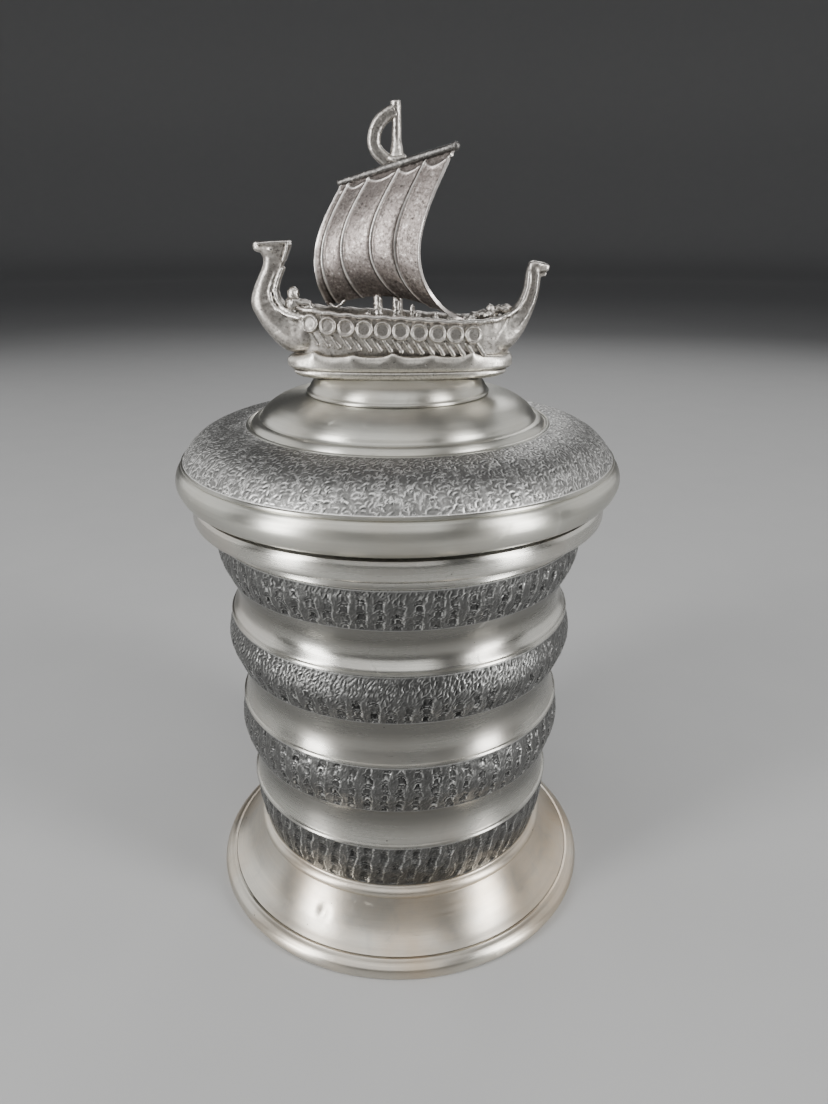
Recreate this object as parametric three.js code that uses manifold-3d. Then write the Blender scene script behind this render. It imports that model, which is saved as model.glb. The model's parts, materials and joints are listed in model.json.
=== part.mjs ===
// Lidded pewter beer stein with a longship finial, in millimetres, +Z up.
// The origin is the centre of the foot's underside. +X runs from the ship's bow to its stern.
import * as THREE from "three";
import { mergeVertices } from "three/addons/utils/BufferGeometryUtils.js";
import Module from "manifold-3d";

const wasm = await Module();
wasm.setup();

// Driving dimensions.
const turns = 36; // facets round every turned piece
const gap = 0.3; // left between pieces that touch
const wall = 1.4; // thickness of the spun sheet

// The cup's wall is a stack of chased beads with plain coves between them.
// Each bead: z and r at its lower edge, r at its belly, z and r at its upper line; then the cove's waist.
const beads = [
  { z0: 19.4, r0: 41.2, belly: 42.9, z1: 33.5, r1: 43.4, waist: 42.5 },
  { z0: 45.6, r0: 43.9, belly: 45.9, z1: 59.7, r1: 45.0, waist: 43.4 },
  { z0: 72.6, r0: 45.3, belly: 47.6, z1: 86.2, r1: 46.4, waist: 44.1 },
  { z0: 98.0, r0: 46.3, belly: 48.5, z1: 109.4, r1: 48.9, waist: 48.9 },
];
const mouth = { r: 49.0, z: 118.6 };
const foot = { r: 55.0, ringTop: 4.6, stepR: 51.9, lipR: 42.9, lipZ: 17.3 };
const rim = { z0: 113.0, z1: 118.3, r: 54.3 };
const lid = {
  z0: 119.0,
  edgeR: 53.6,
  widestR: 57.8,
  widestZ: 123.8,
  grooveR: 56.2,
  grooveZ: 128.1,
  shoulderR: 38.8,
  shoulderZ: 136.9,
};
const flange = { r: 46.9, z0: 110.2, thick: 1.3 };
const dome = { stepR: 38.3, stepZ: 136.9, r: 33.9, z: 140.9, topR: 22.8, topZ: 144.0 };
const plate = { r: 22.7, z0: 144.6, topZ: 148.3 };
const sea = { x: 0.6, z0: 148.7, z1: 154.2, halfLength: 28.6, halfWidth: 10.4, bevel: 2.2 };
const hull = { z0: 154.6, x0: -25.6, x1: 27.6, beam: 8.4, deck: 159.0 };
// Gunwale heights along the ship, from the bow to the stern.
const sheer = [
  [-25.6, 164.9],
  [-19, 164.0],
  [-12, 163.3],
  [1, 162.6],
  [12, 161.7],
  [20, 161.2],
  [27.6, 163.2],
];
const shields = { count: 10, r: 2.05, firstX: -21.2, pitch: 4.4, thick: 1.0 };
const mast = { x: 0.1, y: 2.7, r: 1.15, z1: 211.0 };
const yard = { left: [-14.0, 7.4, 193.6], right: [13.8, -7.4, 200.8], r: 1.1 };
const screw = { r: 1.9, headR: 3.8, headHeight: 2.2, washerR: 5.2, washerThick: 0.9 };

// Materials.
const pewter = new THREE.MeshStandardMaterial({ color: 0xaaa79f, roughness: 0.34, metalness: 1 });
const chasedPewter = new THREE.MeshStandardMaterial({ color: 0x85837f, roughness: 0.5, metalness: 1 });
const castPewter = new THREE.MeshStandardMaterial({ color: 0x9d9892, roughness: 0.45, metalness: 1 });
const steel = new THREE.MeshStandardMaterial({ color: 0xb8b8ba, roughness: 0.3, metalness: 1 });

// Helpers that the pieces share.
const vec2 = (r, z) => new THREE.Vector2(r, z);
const vec3 = ([x, y, z]) => new THREE.Vector3(x, y, z);
// Points of a smooth line through the given (radius, height) places.
function curve(steps, ...places) {
  return new THREE.SplineCurve(places.map(([r, z]) => vec2(r, z))).getPoints(steps);
}

// Turns a closed outline of (radius, height) points round the Z axis.
function turned(outline, segments = turns) {
  const closed = [...outline, outline[0]];
  return new THREE.LatheGeometry(closed, segments).rotateX(Math.PI / 2);
}

// A closed box grid whose points are moved by a formula of their own u, v, w in -0.5 to 0.5.
function mappedBox(nu, nv, nw, place) {
  const box = new THREE.BoxGeometry(1, 1, 1, nu, nv, nw);
  const position = box.getAttribute("position");
  for (let i = 0; i < position.count; i++) {
    const p = place(position.getX(i), position.getY(i), position.getZ(i));
    position.setXYZ(i, p.x, p.y, p.z);
  }
  return box;
}

function toSolid(geometry) {
  const bare = geometry.index ? geometry.toNonIndexed() : geometry.clone();
  bare.deleteAttribute("normal");
  bare.deleteAttribute("uv");
  const merged = mergeVertices(bare, 1e-3);
  return new wasm.Manifold(
    new wasm.Mesh({
      numProp: 3,
      vertProperties: merged.attributes.position.array,
      triVerts: new Uint32Array(merged.index.array),
    }),
  );
}

function toGeometry(solid) {
  const mesh = solid.getMesh();
  const geometry = new THREE.BufferGeometry();
  geometry.setAttribute("position", new THREE.BufferAttribute(mesh.vertProperties, mesh.numProp));
  geometry.setIndex(new THREE.BufferAttribute(mesh.triVerts, 1));
  geometry.computeVertexNormals();
  return geometry;
}

const stein = new THREE.Group();
const cupGroup = new THREE.Group();
const lidGroup = new THREE.Group();
const shipGroup = new THREE.Group();
stein.add(cupGroup, lidGroup);
lidGroup.add(shipGroup);

function piece(group, name, geometry, material) {
  const mesh = new THREE.Mesh(geometry, material);
  mesh.name = name;
  group.add(mesh);
  return mesh;
}

// The cup.
// Outer line of the wall from the foot up to the mouth.
function wallLine(beadSteps, coveSteps) {
  const line = [];
  beads.forEach((bead, i) => {
    const next = beads[i + 1];
    const top = next ? [next.r0, next.z0] : [mouth.r, mouth.z];
    const belly = [bead.belly, (bead.z0 + bead.z1) / 2];
    const waist = [bead.waist, (bead.z1 + top[1]) / 2];
    line.push(...curve(beadSteps, [bead.r0, bead.z0], belly, [bead.r1, bead.z1]));
    line.push(...curve(coveSteps, [bead.r1, bead.z1], waist, top).slice(1, -1));
  });
  line.push(vec2(mouth.r, mouth.z));
  return line;
}

const outerWall = wallLine(4, 4);
const innerWall = wallLine(2, 2)
  .reverse()
  .map((p) => vec2(p.x - wall, p.y));
piece(cupGroup, "body_shell", turned([...outerWall, ...innerWall]), pewter);

// Flat disc that closes the cup, soldered inside the lip of the foot.
const floorR = 39.2;
const floorTop = beads[0].z0 - gap;
const floorLine = [vec2(0, floorTop - wall), vec2(floorR, floorTop - wall), vec2(floorR, floorTop), vec2(0, floorTop)];
piece(cupGroup, "base_floor", new THREE.LatheGeometry(floorLine, turns).rotateX(Math.PI / 2), pewter);

// Spun flare from the lip under the wall down to the foot ring.
const flare = [
  ...curve(4, [foot.stepR - gap, 5.2], [47.0, 8.2], [43.8, 12.0], [42.1, 15.6]),
  ...curve(3, [42.1, 15.6], [foot.lipR, foot.lipZ], [41.3, beads[0].z0 - gap]),
];
const flareInside = [
  vec2(39.6, beads[0].z0 - gap),
  vec2(40.0, 14.6),
  ...curve(3, [42.3, 11.2], [45.8, 7.4], [foot.stepR - gap, 3.8]),
];
piece(cupGroup, "foot_skirt", turned([...flare, ...flareInside]), pewter);

// Heavy rounded ring that the cup stands on.
const ringLine = [
  vec2(50.4, 0),
  vec2(foot.r - 0.6, 0),
  ...curve(4, [foot.r - 0.3, 0.6], [foot.r, 2.2], [foot.r - 0.9, foot.ringTop - 0.3]),
  vec2(foot.stepR + 0.3, foot.ringTop + 0.4),
  vec2(foot.stepR, foot.ringTop - 0.2),
  vec2(foot.stepR, 2.6),
  vec2(50.4, 2.2),
];
piece(cupGroup, "foot_ring", turned(ringLine), pewter);

// Heavy band soldered round the mouth; the lid rests on it.
const bandInner = mouth.r + gap;
const rimLine = [
  vec2(bandInner, rim.z0 - 0.4),
  vec2(rim.r - 1.5, rim.z0),
  ...curve(4, [rim.r - 0.7, rim.z0 + 0.5], [rim.r, (rim.z0 + rim.z1) / 2], [rim.r - 0.5, rim.z1 - 0.4]),
  vec2(rim.r - 1.2, rim.z1),
  vec2(bandInner, rim.z1),
];
piece(cupGroup, "rim_band", turned(rimLine), pewter);

// The lid.
const lidOutside = [
  ...curve(
    5,
    [lid.edgeR, lid.z0],
    [lid.widestR - 0.7, lid.z0 + 2.2],
    [lid.widestR, lid.widestZ],
    [lid.grooveR, lid.grooveZ],
  ),
  ...curve(
    5,
    [lid.grooveR - 0.4, lid.grooveZ + 0.6],
    [51.6, 133.5],
    [44.6, 136.3],
    [lid.shoulderR, lid.shoulderZ],
  ),
];
const lidInside = [
  vec2(lid.shoulderR, lid.shoulderZ - wall),
  ...curve(4, [44.4, 134.9], [50.7, 132.2], [54.7, 127.4], [56.3, 123.6]),
  ...curve(2, [56.0, 122.0], [55.0, 120.8], [lid.edgeR - 0.2, lid.z0 + 0.9]),
];
piece(lidGroup, "lid_shell", turned([...lidOutside, ...lidInside]), chasedPewter);

// Locating collar: a flat shelf under the lid's edge and a tube that drops inside the mouth.
const shelfTop = lid.z0 + 1.3;
const flangeLine = [
  vec2(flange.r - flange.thick, flange.z0),
  vec2(flange.r - 0.4, flange.z0),
  vec2(flange.r, flange.z0 + 0.8),
  vec2(flange.r, lid.z0 - 0.1),
  vec2(lid.edgeR - 0.7, lid.z0 - 0.1),
  vec2(lid.edgeR - 0.7, shelfTop - 0.6),
  vec2(flange.r - flange.thick, shelfTop),
];
piece(lidGroup, "lid_flange", turned(flangeLine), pewter);

// Stepped dome soldered on the lid's shoulder, with a hole for the finial's screw.
const screwHole = screw.r + gap;
const domeOutside = [
  vec2(dome.stepR, dome.stepZ - 1.0),
  vec2(dome.stepR, dome.stepZ + 0.2),
  vec2(37.0, 138.0),
  ...curve(5, [dome.r + 1.6, 138.5], [dome.r, dome.z], [28.6, 143.2], [dome.topR, dome.topZ]),
  vec2(screwHole, dome.topZ + 0.6),
];
const domeInside = [
  vec2(screwHole, dome.topZ - 0.8),
  vec2(dome.topR, dome.topZ - wall),
  ...curve(3, [28.0, 141.8], [32.6, 139.4], [35.4, 136.4]),
  vec2(37.0, dome.stepZ - 1.0),
];
piece(lidGroup, "lid_dome", turned([...domeOutside, ...domeInside]), pewter);

// Raised seat that the finial stands on.
const plateLine = [
  vec2(screwHole, plate.z0 + 0.4),
  vec2(plate.r, plate.z0 - 0.2),
  ...curve(4, [plate.r, plate.z0 + 0.3], [plate.r - 1.4, plate.z0 + 1.6], [17.2, 147.6], [11.0, plate.topZ]),
  vec2(screwHole, plate.topZ),
];
piece(lidGroup, "finial_plate", turned(plateLine), pewter);

// Slotted pan-head screw from inside the lid, and its washer.
const headTop = dome.topZ - 0.8 - gap - screw.washerThick - gap;
const screwTop = sea.z0 + 3.4;
const screwLine = [
  vec2(0, headTop - screw.headHeight),
  vec2(screw.headR - 0.9, headTop - screw.headHeight),
  vec2(screw.headR, headTop - 0.7),
  vec2(screw.headR, headTop),
  vec2(screw.r, headTop),
  vec2(screw.r, screwTop - 0.6),
  vec2(screw.r - 0.6, screwTop),
  vec2(0, screwTop),
];
const slotCutter = new THREE.BoxGeometry(9, 0.9, 1.6).translate(0, 0, headTop - screw.headHeight);
const screwBlank = toSolid(new THREE.LatheGeometry(screwLine, 24).rotateX(Math.PI / 2));
piece(lidGroup, "finial_screw", toGeometry(screwBlank.subtract(toSolid(slotCutter))), steel);

const washerZ = headTop + gap;
const washerLine = [
  vec2(screwHole, washerZ),
  vec2(screw.washerR, washerZ),
  vec2(screw.washerR, washerZ + screw.washerThick),
  vec2(screwHole, washerZ + screw.washerThick),
];
piece(lidGroup, "finial_washer", turned(washerLine, 24), steel);

// The finial: a longship on a block of sea.
// Oval block of sea, undercut below, with a blind hole for the screw.
const seaOutline = new THREE.Shape();
seaOutline.absellipse(0, 0, sea.halfLength - sea.bevel, sea.halfWidth - sea.bevel, 0, Math.PI * 2);
const seaBlock = new THREE.ExtrudeGeometry(seaOutline, {
  depth: 1.5,
  bevelSize: sea.bevel,
  bevelThickness: (sea.z1 - sea.z0 - 1.5) / 2,
  bevelSegments: 3,
  curveSegments: 14,
}).translate(sea.x, 0, sea.z0 + (sea.z1 - sea.z0 - 1.5) / 2);
const screwPocket = new THREE.CylinderGeometry(screwHole, screwHole, 8, 24)
  .rotateX(Math.PI / 2)
  .translate(0, 0, screwTop + gap - 4);
const seaSolid = toSolid(seaBlock).subtract(toSolid(screwPocket));
piece(shipGroup, "sea_plinth", toGeometry(seaSolid), castPewter);

// Half-beam of the hull at a place along it, at the gunwale.
const midship = (hull.x0 + hull.x1) / 2;
const beamAt = (x) => hull.beam * (1 - Math.abs((x - midship) / (midship - hull.x0 + 3.4)) ** 2.6) ** 0.8;
// Height of the gunwale, straight between the given places.
function sheerAt(x) {
  const i = Math.max(1, sheer.findIndex(([place]) => place >= x - 1e-6));
  const [[xa, za], [xb, zb]] = [sheer[i - 1], sheer[i]];
  return za + ((zb - za) * (x - xa)) / (xb - xa);
}

const hullShell = mappedBox(14, 4, 3, (u, v, w) => {
  const x = midship + u * (hull.x1 - hull.x0);
  const height = w + 0.5;
  const half = beamAt(x) * (0.66 + 0.34 * Math.sqrt(height));
  return new THREE.Vector3(x, v * 2 * half, hull.z0 + height * (sheerAt(x) - hull.z0));
});
const deckCut = mappedBox(10, 2, 1, (u, v, w) => {
  const x = midship + u * (hull.x1 - hull.x0 - 5);
  return new THREE.Vector3(x, v * 2 * (beamAt(x) - 1.7), hull.deck + (w + 0.5) * 9);
});
let hullSolid = toSolid(hullShell).subtract(toSolid(deckCut));
for (let i = 0; i < shields.count; i++) {
  const x = shields.firstX + i * shields.pitch;
  for (const side of [-1, 1]) {
    const disc = new THREE.CylinderGeometry(shields.r - 0.3, shields.r, shields.thick, 10)
      .rotateX(side < 0 ? Math.PI : 0)
      .rotateZ((side * (beamAt(x - 1) - beamAt(x + 1))) / 2)
      .translate(x, side * (beamAt(x) * 0.93 + 0.35), sheerAt(x) - 2.9);
    hullSolid = hullSolid.add(toSolid(disc));
  }
}
piece(shipGroup, "ship_hull", toGeometry(hullSolid), castPewter);

// Posts at the two ends: an outline in the XZ plane, given a thickness across the ship.
function post(outline, thick, bevel) {
  const shape = new THREE.Shape(outline.map(([x, z]) => vec2(x, z)));
  return new THREE.ExtrudeGeometry(shape, {
    depth: thick - 2 * bevel,
    bevelSize: bevel * 0.3,
    bevelOffset: -bevel * 0.3,
    bevelThickness: bevel,
    bevelSegments: 2,
  })
    .rotateX(Math.PI / 2)
    .translate(0, thick / 2 - bevel, 0);
}
const prowOutline = [
  [-26.0, 155.0],
  [-28.4, 155.2],
  [-31.7, 158.6],
  [-34.4, 162.4],
  [-36.0, 165.8],
  [-35.4, 168.8],
  [-33.4, 172.0],
  [-32.2, 174.6],
  [-33.0, 177.0],
  [-34.9, 178.5],
  [-34.9, 179.8],
  [-31.0, 180.5],
  [-25.6, 180.7],
  [-26.1, 178.4],
  [-27.3, 174.9],
  [-29.2, 171.6],
  [-29.5, 168.9],
  [-28.4, 166.4],
  [-26.0, 164.8],
];
piece(shipGroup, "prow_dragon", post(prowOutline, 6.6, 2.0), castPewter);

const sternOutline = [
  [28.0, 163.0],
  [30.0, 164.6],
  [31.2, 167.4],
  [31.8, 171.4],
  [32.0, 175.2],
  [34.2, 176.0],
  [37.7, 175.3],
  [37.0, 172.6],
  [35.1, 172.1],
  [34.9, 169.6],
  [34.0, 166.2],
  [32.2, 162.0],
  [29.6, 158.2],
  [28.0, 156.6],
];
piece(shipGroup, "stern_post", post(sternOutline.reverse(), 4.8, 1.5), castPewter);

// Sail: a sheet between the yard and the gunwales that bellies forward and to the near side.
const sailCorners = {
  topLeft: [-12.9, 6.9, 192.1],
  topRight: [12.1, -6.5, 198.4],
  bottomLeft: [-17.6, 5.8, 165.0],
  bottomRight: [16.0, -6.7, 162.4],
};
const bellyLeft = vec3([-4.4, -3.2, 0]);
const bellyRight = vec3([-9.0, -3.6, 0]);
const sailThick = 1.0;
function sailPoint(u, v) {
  const top = vec3(sailCorners.topLeft).lerp(vec3(sailCorners.topRight), u);
  const bottom = vec3(sailCorners.bottomLeft).lerp(vec3(sailCorners.bottomRight), u);
  bottom.z += 3.9 * Math.sin(Math.PI * u);
  const belly = bellyLeft.clone().lerp(bellyRight, u);
  return bottom.lerp(top, v).addScaledVector(belly, Math.sin(Math.PI * v ** 0.85));
}
const sailSheet = mappedBox(8, 8, 1, (u, v, w) => {
  const across = vec3([0.42, 0.9, 0]).normalize();
  return sailPoint(u + 0.5, v + 0.5).addScaledVector(across, -w * sailThick);
});
piece(shipGroup, "sail", sailSheet, castPewter);

// A round spar between two points.
function spar(from, to, r, sides = 10) {
  const a = vec3(from);
  const b = vec3(to);
  const rod = new THREE.CylinderGeometry(r, r, a.distanceTo(b), sides);
  const turn = new THREE.Quaternion().setFromUnitVectors(vec3([0, 1, 0]), b.clone().sub(a).normalize());
  return rod.applyQuaternion(turn).translate(...a.add(b).multiplyScalar(0.5).toArray());
}
piece(shipGroup, "yard", spar(yard.left, yard.right, yard.r), castPewter);

const mastLine = [
  [0, hull.deck + gap],
  [2.3, hull.deck + gap],
  [1.4, hull.deck + 2.2],
  [mast.r, hull.deck + 5],
  [mast.r * 0.85, mast.z1 - 2.4],
  [mast.r * 1.15, mast.z1 - 1.8],
  [mast.r * 1.1, mast.z1 - 0.5],
  [0.5, mast.z1],
  [0, mast.z1],
].map(([r, z]) => vec2(r, z));
const mastRod = new THREE.LatheGeometry(mastLine, 12).rotateX(Math.PI / 2).translate(mast.x, mast.y, 0);
piece(shipGroup, "mast", mastRod, castPewter);

// Bowed pennant: a flat strip that leaves the mast near its top and comes back above the yard.
const vaneOutline = [
  [mast.x - mast.r - gap, 208.6],
  [-3.3, 207.7],
  [-5.3, 205.8],
  [-6.2, 203.0],
  [-5.6, 200.4],
  [-3.6, 198.9],
  [mast.x - mast.r - gap, 198.6],
  [mast.x - mast.r - gap, 200.2],
  [-2.9, 200.7],
  [-3.7, 202.6],
  [-3.4, 204.6],
  [-2.4, 206.1],
  [mast.x - mast.r - gap, 206.9],
];
piece(shipGroup, "masthead_vane", post(vaneOutline, 2.0, 0.4).translate(0, mast.y, 0), castPewter);

// Crew and fittings: short turned figures and posts that stand on the deck.
function figure(x, y, height, r) {
  const line = [
    [0, 0],
    [r, 0],
    [r * 1.05, height * 0.25],
    [r * 0.8, height * 0.52],
    [r * 0.4, height * 0.6],
    [r * 0.72, height * 0.72],
    [r * 0.66, height * 0.92],
    [0, height],
  ].map(([a, b]) => vec2(a, b));
  return new THREE.LatheGeometry(line, 10).rotateX(Math.PI / 2).translate(x, y, hull.deck + gap);
}
piece(shipGroup, "bow_lookout", figure(-20.9, 0, 9.2, 1.8), castPewter);
piece(shipGroup, "deck_hand", figure(-4.8, -1.6, 7.2, 1.5), castPewter);
piece(shipGroup, "rower_aft", figure(4.2, -1.8, 5.0, 1.2), castPewter);
piece(shipGroup, "steersman", figure(22.0, 0, 5.6, 1.8), castPewter);

export default stein;
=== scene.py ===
import json
import math

import bmesh
import bpy
import numpy as np
from mathutils import Euler, Matrix, Vector

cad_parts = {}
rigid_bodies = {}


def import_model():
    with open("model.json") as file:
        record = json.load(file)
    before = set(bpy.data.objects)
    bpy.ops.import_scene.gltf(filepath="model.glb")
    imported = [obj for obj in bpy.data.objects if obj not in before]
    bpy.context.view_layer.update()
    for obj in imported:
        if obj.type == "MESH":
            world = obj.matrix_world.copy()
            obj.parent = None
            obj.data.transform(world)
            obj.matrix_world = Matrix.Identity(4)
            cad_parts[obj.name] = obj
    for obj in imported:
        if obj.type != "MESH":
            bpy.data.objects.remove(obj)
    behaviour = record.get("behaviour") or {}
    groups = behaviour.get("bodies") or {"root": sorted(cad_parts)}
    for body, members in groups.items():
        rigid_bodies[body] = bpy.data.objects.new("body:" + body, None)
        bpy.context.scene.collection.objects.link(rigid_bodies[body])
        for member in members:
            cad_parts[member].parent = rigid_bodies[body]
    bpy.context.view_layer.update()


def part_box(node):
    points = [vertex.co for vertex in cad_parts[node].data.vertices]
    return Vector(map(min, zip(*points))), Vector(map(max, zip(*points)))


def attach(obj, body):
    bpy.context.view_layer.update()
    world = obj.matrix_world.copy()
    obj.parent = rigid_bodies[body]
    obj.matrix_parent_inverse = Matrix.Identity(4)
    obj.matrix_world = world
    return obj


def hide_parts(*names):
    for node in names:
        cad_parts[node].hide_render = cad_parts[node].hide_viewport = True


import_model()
mm = 0.001
fullTurn = 2 * math.pi
random = np.random.default_rng(7)


def heightOf(node, end):
    # lowest (0) or highest (1) point of a CAD node, in mm
    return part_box(node)[end][2] / mm


# Outlines are (radius, height) pairs in mm.
def smoothLine(points, count):
    # rounded line through the given points, evenly stepped between each pair
    pts = [Vector(p) for p in points]
    pts = [2 * pts[0] - pts[1]] + pts + [2 * pts[-1] - pts[-2]]
    line = []
    for a, b, c, d in zip(pts, pts[1:], pts[2:], pts[3:]):
        for i in range(count):
            t = i / count
            line.append(0.5 * (2 * b + (c - a) * t + (2 * a - 5 * b + 4 * c - d) * t * t
                               + (3 * b - a - 3 * c + d) * t ** 3))
    line.append(pts[-2])
    return [tuple(p) for p in line]


def evenLine(points, spacing):
    # the same line with points at an even spacing along it
    pts = np.array(points, float)
    steps = np.hypot(*np.diff(pts, axis=0).T)
    along = np.concatenate([[0], np.cumsum(steps)])
    places = np.linspace(0, along[-1], max(2, round(along[-1] / spacing) + 1))
    return list(zip(np.interp(places, along, pts[:, 0]), np.interp(places, along, pts[:, 1])))


def turned(outline, steps, sectors=20):
    # turns a closed outline all the way round the Z axis: one sector is spun, then repeated
    sector = bmesh.new()
    verts = [sector.verts.new((r * mm, 0, z * mm)) for r, z in outline]
    edges = [sector.edges.new(pair) for pair in zip(verts, verts[1:] + verts[:1])]
    bmesh.ops.spin(sector, geom=verts + edges, cent=(0, 0, 0), axis=(0, 0, 1), dvec=(0, 0, 0),
                   angle=fullTurn / sectors, steps=steps // sectors, use_merge=False, use_duplicate=False)
    scratch = bpy.data.meshes.new("scratch")
    sector.to_mesh(scratch)
    sector.free()
    bm = bmesh.new()
    for _ in range(sectors):
        bm.from_mesh(scratch)
        scratch.transform(Matrix.Rotation(fullTurn / sectors, 4, "Z"))
    bpy.data.meshes.remove(scratch)
    bmesh.ops.remove_doubles(bm, verts=bm.verts, dist=2e-6)
    bmesh.ops.recalc_face_normals(bm, faces=bm.faces)
    return bm


def loft(rings, closeEnds=True):
    # bridges closed rings of points, in mm, one after another
    bm = bmesh.new()
    loops = []
    for ring in rings:
        verts = [bm.verts.new(Vector(p) * mm) for p in ring]
        loops.append([bm.edges.new(pair) for pair in zip(verts, verts[1:] + verts[:1])])
    for a, b in zip(loops, loops[1:]):
        bmesh.ops.bridge_loops(bm, edges=a + b)
    if closeEnds:
        bmesh.ops.contextual_create(bm, geom=loops[0])
        bmesh.ops.contextual_create(bm, geom=loops[-1])
    bmesh.ops.triangulate(bm, faces=[f for f in bm.faces if len(f.verts) > 4])
    bmesh.ops.recalc_face_normals(bm, faces=bm.faces)
    return bm


def ovalRing(centre, wide, tall, out=(0, 0, 1), count=20, square=1.0):
    # closed ring round a centre: wide along Y, tall along the out direction
    up = Vector(out).normalized()
    ring = []
    for i in range(count):
        a = fullTurn * i / count
        c, s = math.cos(a), math.sin(a)
        c = math.copysign(abs(c) ** square, c)
        s = math.copysign(abs(s) ** square, s)
        ring.append(Vector(centre) + Vector((0, wide * c, 0)) + up * tall * s)
    return ring


def addBall(bm, centre, size, turn=(0, 0, 0), detail=3):
    place = Matrix.Translation(Vector(centre) * mm) @ Euler(turn).to_matrix().to_4x4()
    place = place @ Matrix.Diagonal((size[0] * mm, size[1] * mm, size[2] * mm, 1))
    bmesh.ops.create_icosphere(bm, subdivisions=detail, radius=1, matrix=place)


def addRod(bm, start, end, r1, r2=None, sides=14):
    # round rod with flat ends between two points, in mm
    a, b = Vector(start), Vector(end)
    along = b - a
    place = Matrix.Translation((a + b) / 2 * mm) @ along.to_track_quat("Z", "Y").to_matrix().to_4x4()
    bmesh.ops.create_cone(bm, cap_ends=True, cap_tris=False, segments=sides, radius1=r1 * mm,
                          radius2=(r1 if r2 is None else r2) * mm, depth=along.length * mm, matrix=place)


def joinInto(bm, other):
    # adds another bmesh's shape and frees it
    scratch = bpy.data.meshes.new("scratch")
    other.to_mesh(scratch)
    other.free()
    bm.from_mesh(scratch)
    bpy.data.meshes.remove(scratch)


def fuse(bm, voxel, smoothing=2):
    # melts overlapping shapes into one cast skin
    scratch = bpy.data.meshes.new("scratch")
    bm.to_mesh(scratch)
    bm.free()
    holder = bpy.data.objects.new("scratch", scratch)
    bpy.context.scene.collection.objects.link(holder)
    remesh = holder.modifiers.new("remesh", "REMESH")
    remesh.mode = "VOXEL"
    remesh.voxel_size = voxel * mm
    remesh.adaptivity = 0
    bpy.context.view_layer.update()
    result = bpy.data.meshes.new_from_object(holder.evaluated_get(bpy.context.evaluated_depsgraph_get()))
    bpy.data.objects.remove(holder)
    bpy.data.meshes.remove(scratch)
    fused = bmesh.new()
    fused.from_mesh(result)
    bpy.data.meshes.remove(result)
    for _ in range(smoothing):
        bmesh.ops.smooth_vert(fused, verts=fused.verts, factor=0.5, use_axis_x=True, use_axis_y=True,
                              use_axis_z=True)
    return fused


def ripple(points, scale, seed):
    # cheap smooth noise, about -1 to 1, from crossed waves; points and scale in mm
    draw = np.random.default_rng(seed)
    total = np.zeros(len(points))
    for _ in range(10):
        way = draw.normal(size=3)
        way /= np.linalg.norm(way)
        total += np.sin(points @ way * (fullTurn / (scale * draw.uniform(0.6, 1.5)))
                        + draw.uniform(0, fullTurn))
    return total / 3.2


def smoothStep(low, high, x):
    t = np.clip((x - low) / (high - low), 0, 1)
    return t * t * (3 - 2 * t)


def readPoints(mesh):
    flat = np.empty(len(mesh.vertices) * 3)
    mesh.vertices.foreach_get("co", flat)
    return flat.reshape(-1, 3) / mm


def readNormals(mesh):
    flat = np.empty(len(mesh.vertices) * 3)
    mesh.vertex_normals.foreach_get("vector", flat)
    return flat.reshape(-1, 3)


def writePoints(mesh, points):
    mesh.vertices.foreach_set("co", (points * mm).ravel())
    mesh.update()


def storeHollow(mesh, value):
    # 1 in a hollow, 0.5 on even ground and 0 on a ridge, for the materials to read; the cup wall also stores
    # its painted cove shade through it
    layer = mesh.attributes.new("patinaAndPaintedLight", "FLOAT", "POINT")
    layer.data.foreach_set("value", np.clip(value, 0, 1).astype(np.float32))


def roughenCast(mesh, depth, scale, seed):
    # uneven skin of a casting
    points, normals = readPoints(mesh), readNormals(mesh)
    skin = ripple(points, scale, seed) + 0.5 * ripple(points, scale * 0.35, seed + 1)
    writePoints(mesh, points + normals * (skin * depth)[:, None])


def markHollows(mesh, reach=2, gain=1.0):
    # stores where the surface is hollow (towards 1) or proud (towards 0), 0.5 where it is even
    points, normals = readPoints(mesh), readNormals(mesh)
    pairs = np.empty(len(mesh.edges) * 2, int)
    mesh.edges.foreach_get("vertices", pairs)
    a, b = pairs.reshape(-1, 2).T
    between = points[b] - points[a]
    gap = np.linalg.norm(between, axis=1) + 1e-9
    count = np.bincount(a, minlength=len(points)) + np.bincount(b, minlength=len(points))
    bend = np.bincount(a, np.einsum("ij,ij->i", between, normals[a]) / gap, len(points))
    bend -= np.bincount(b, np.einsum("ij,ij->i", between, normals[b]) / gap, len(points))
    bend /= np.maximum(count, 1)
    for _ in range(reach):
        near = np.bincount(a, bend[b], len(points)) + np.bincount(b, bend[a], len(points))
        bend = 0.5 * bend + 0.5 * near / np.maximum(count, 1)
    storeHollow(mesh, 0.5 + gain * bend)


def finishPiece(name, bm, body, slot, material, stands=(), sharp=40, cast=None, hollows=None):
    # makes a bmesh an object that rides on a body and takes the given material; the slot argument is not used
    mesh = bpy.data.meshes.new(name)
    bm.to_mesh(mesh)
    bm.free()
    mesh.shade_smooth()
    mesh.set_sharp_from_angle(angle=math.radians(sharp))
    if cast:
        roughenCast(mesh, *cast)
    if hollows:
        markHollows(mesh, *hollows)
    mesh.materials.append(material)
    piece = bpy.data.objects.new(name, mesh)
    bpy.context.scene.collection.objects.link(piece)
    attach(piece, body)
    if stands:
        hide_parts(*stands)
    return piece


def finishSpun(name, outline, material, stands, steps=320, body="cup"):
    return finishPiece(name, turned(outline, steps), body, "plain_pewter", material, stands=[stands])


def finishCast(name, bm, material, stands=(), **more):
    return finishPiece(name, bm, "lid", "cast_pewter", material, stands=stands, **more)


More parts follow.
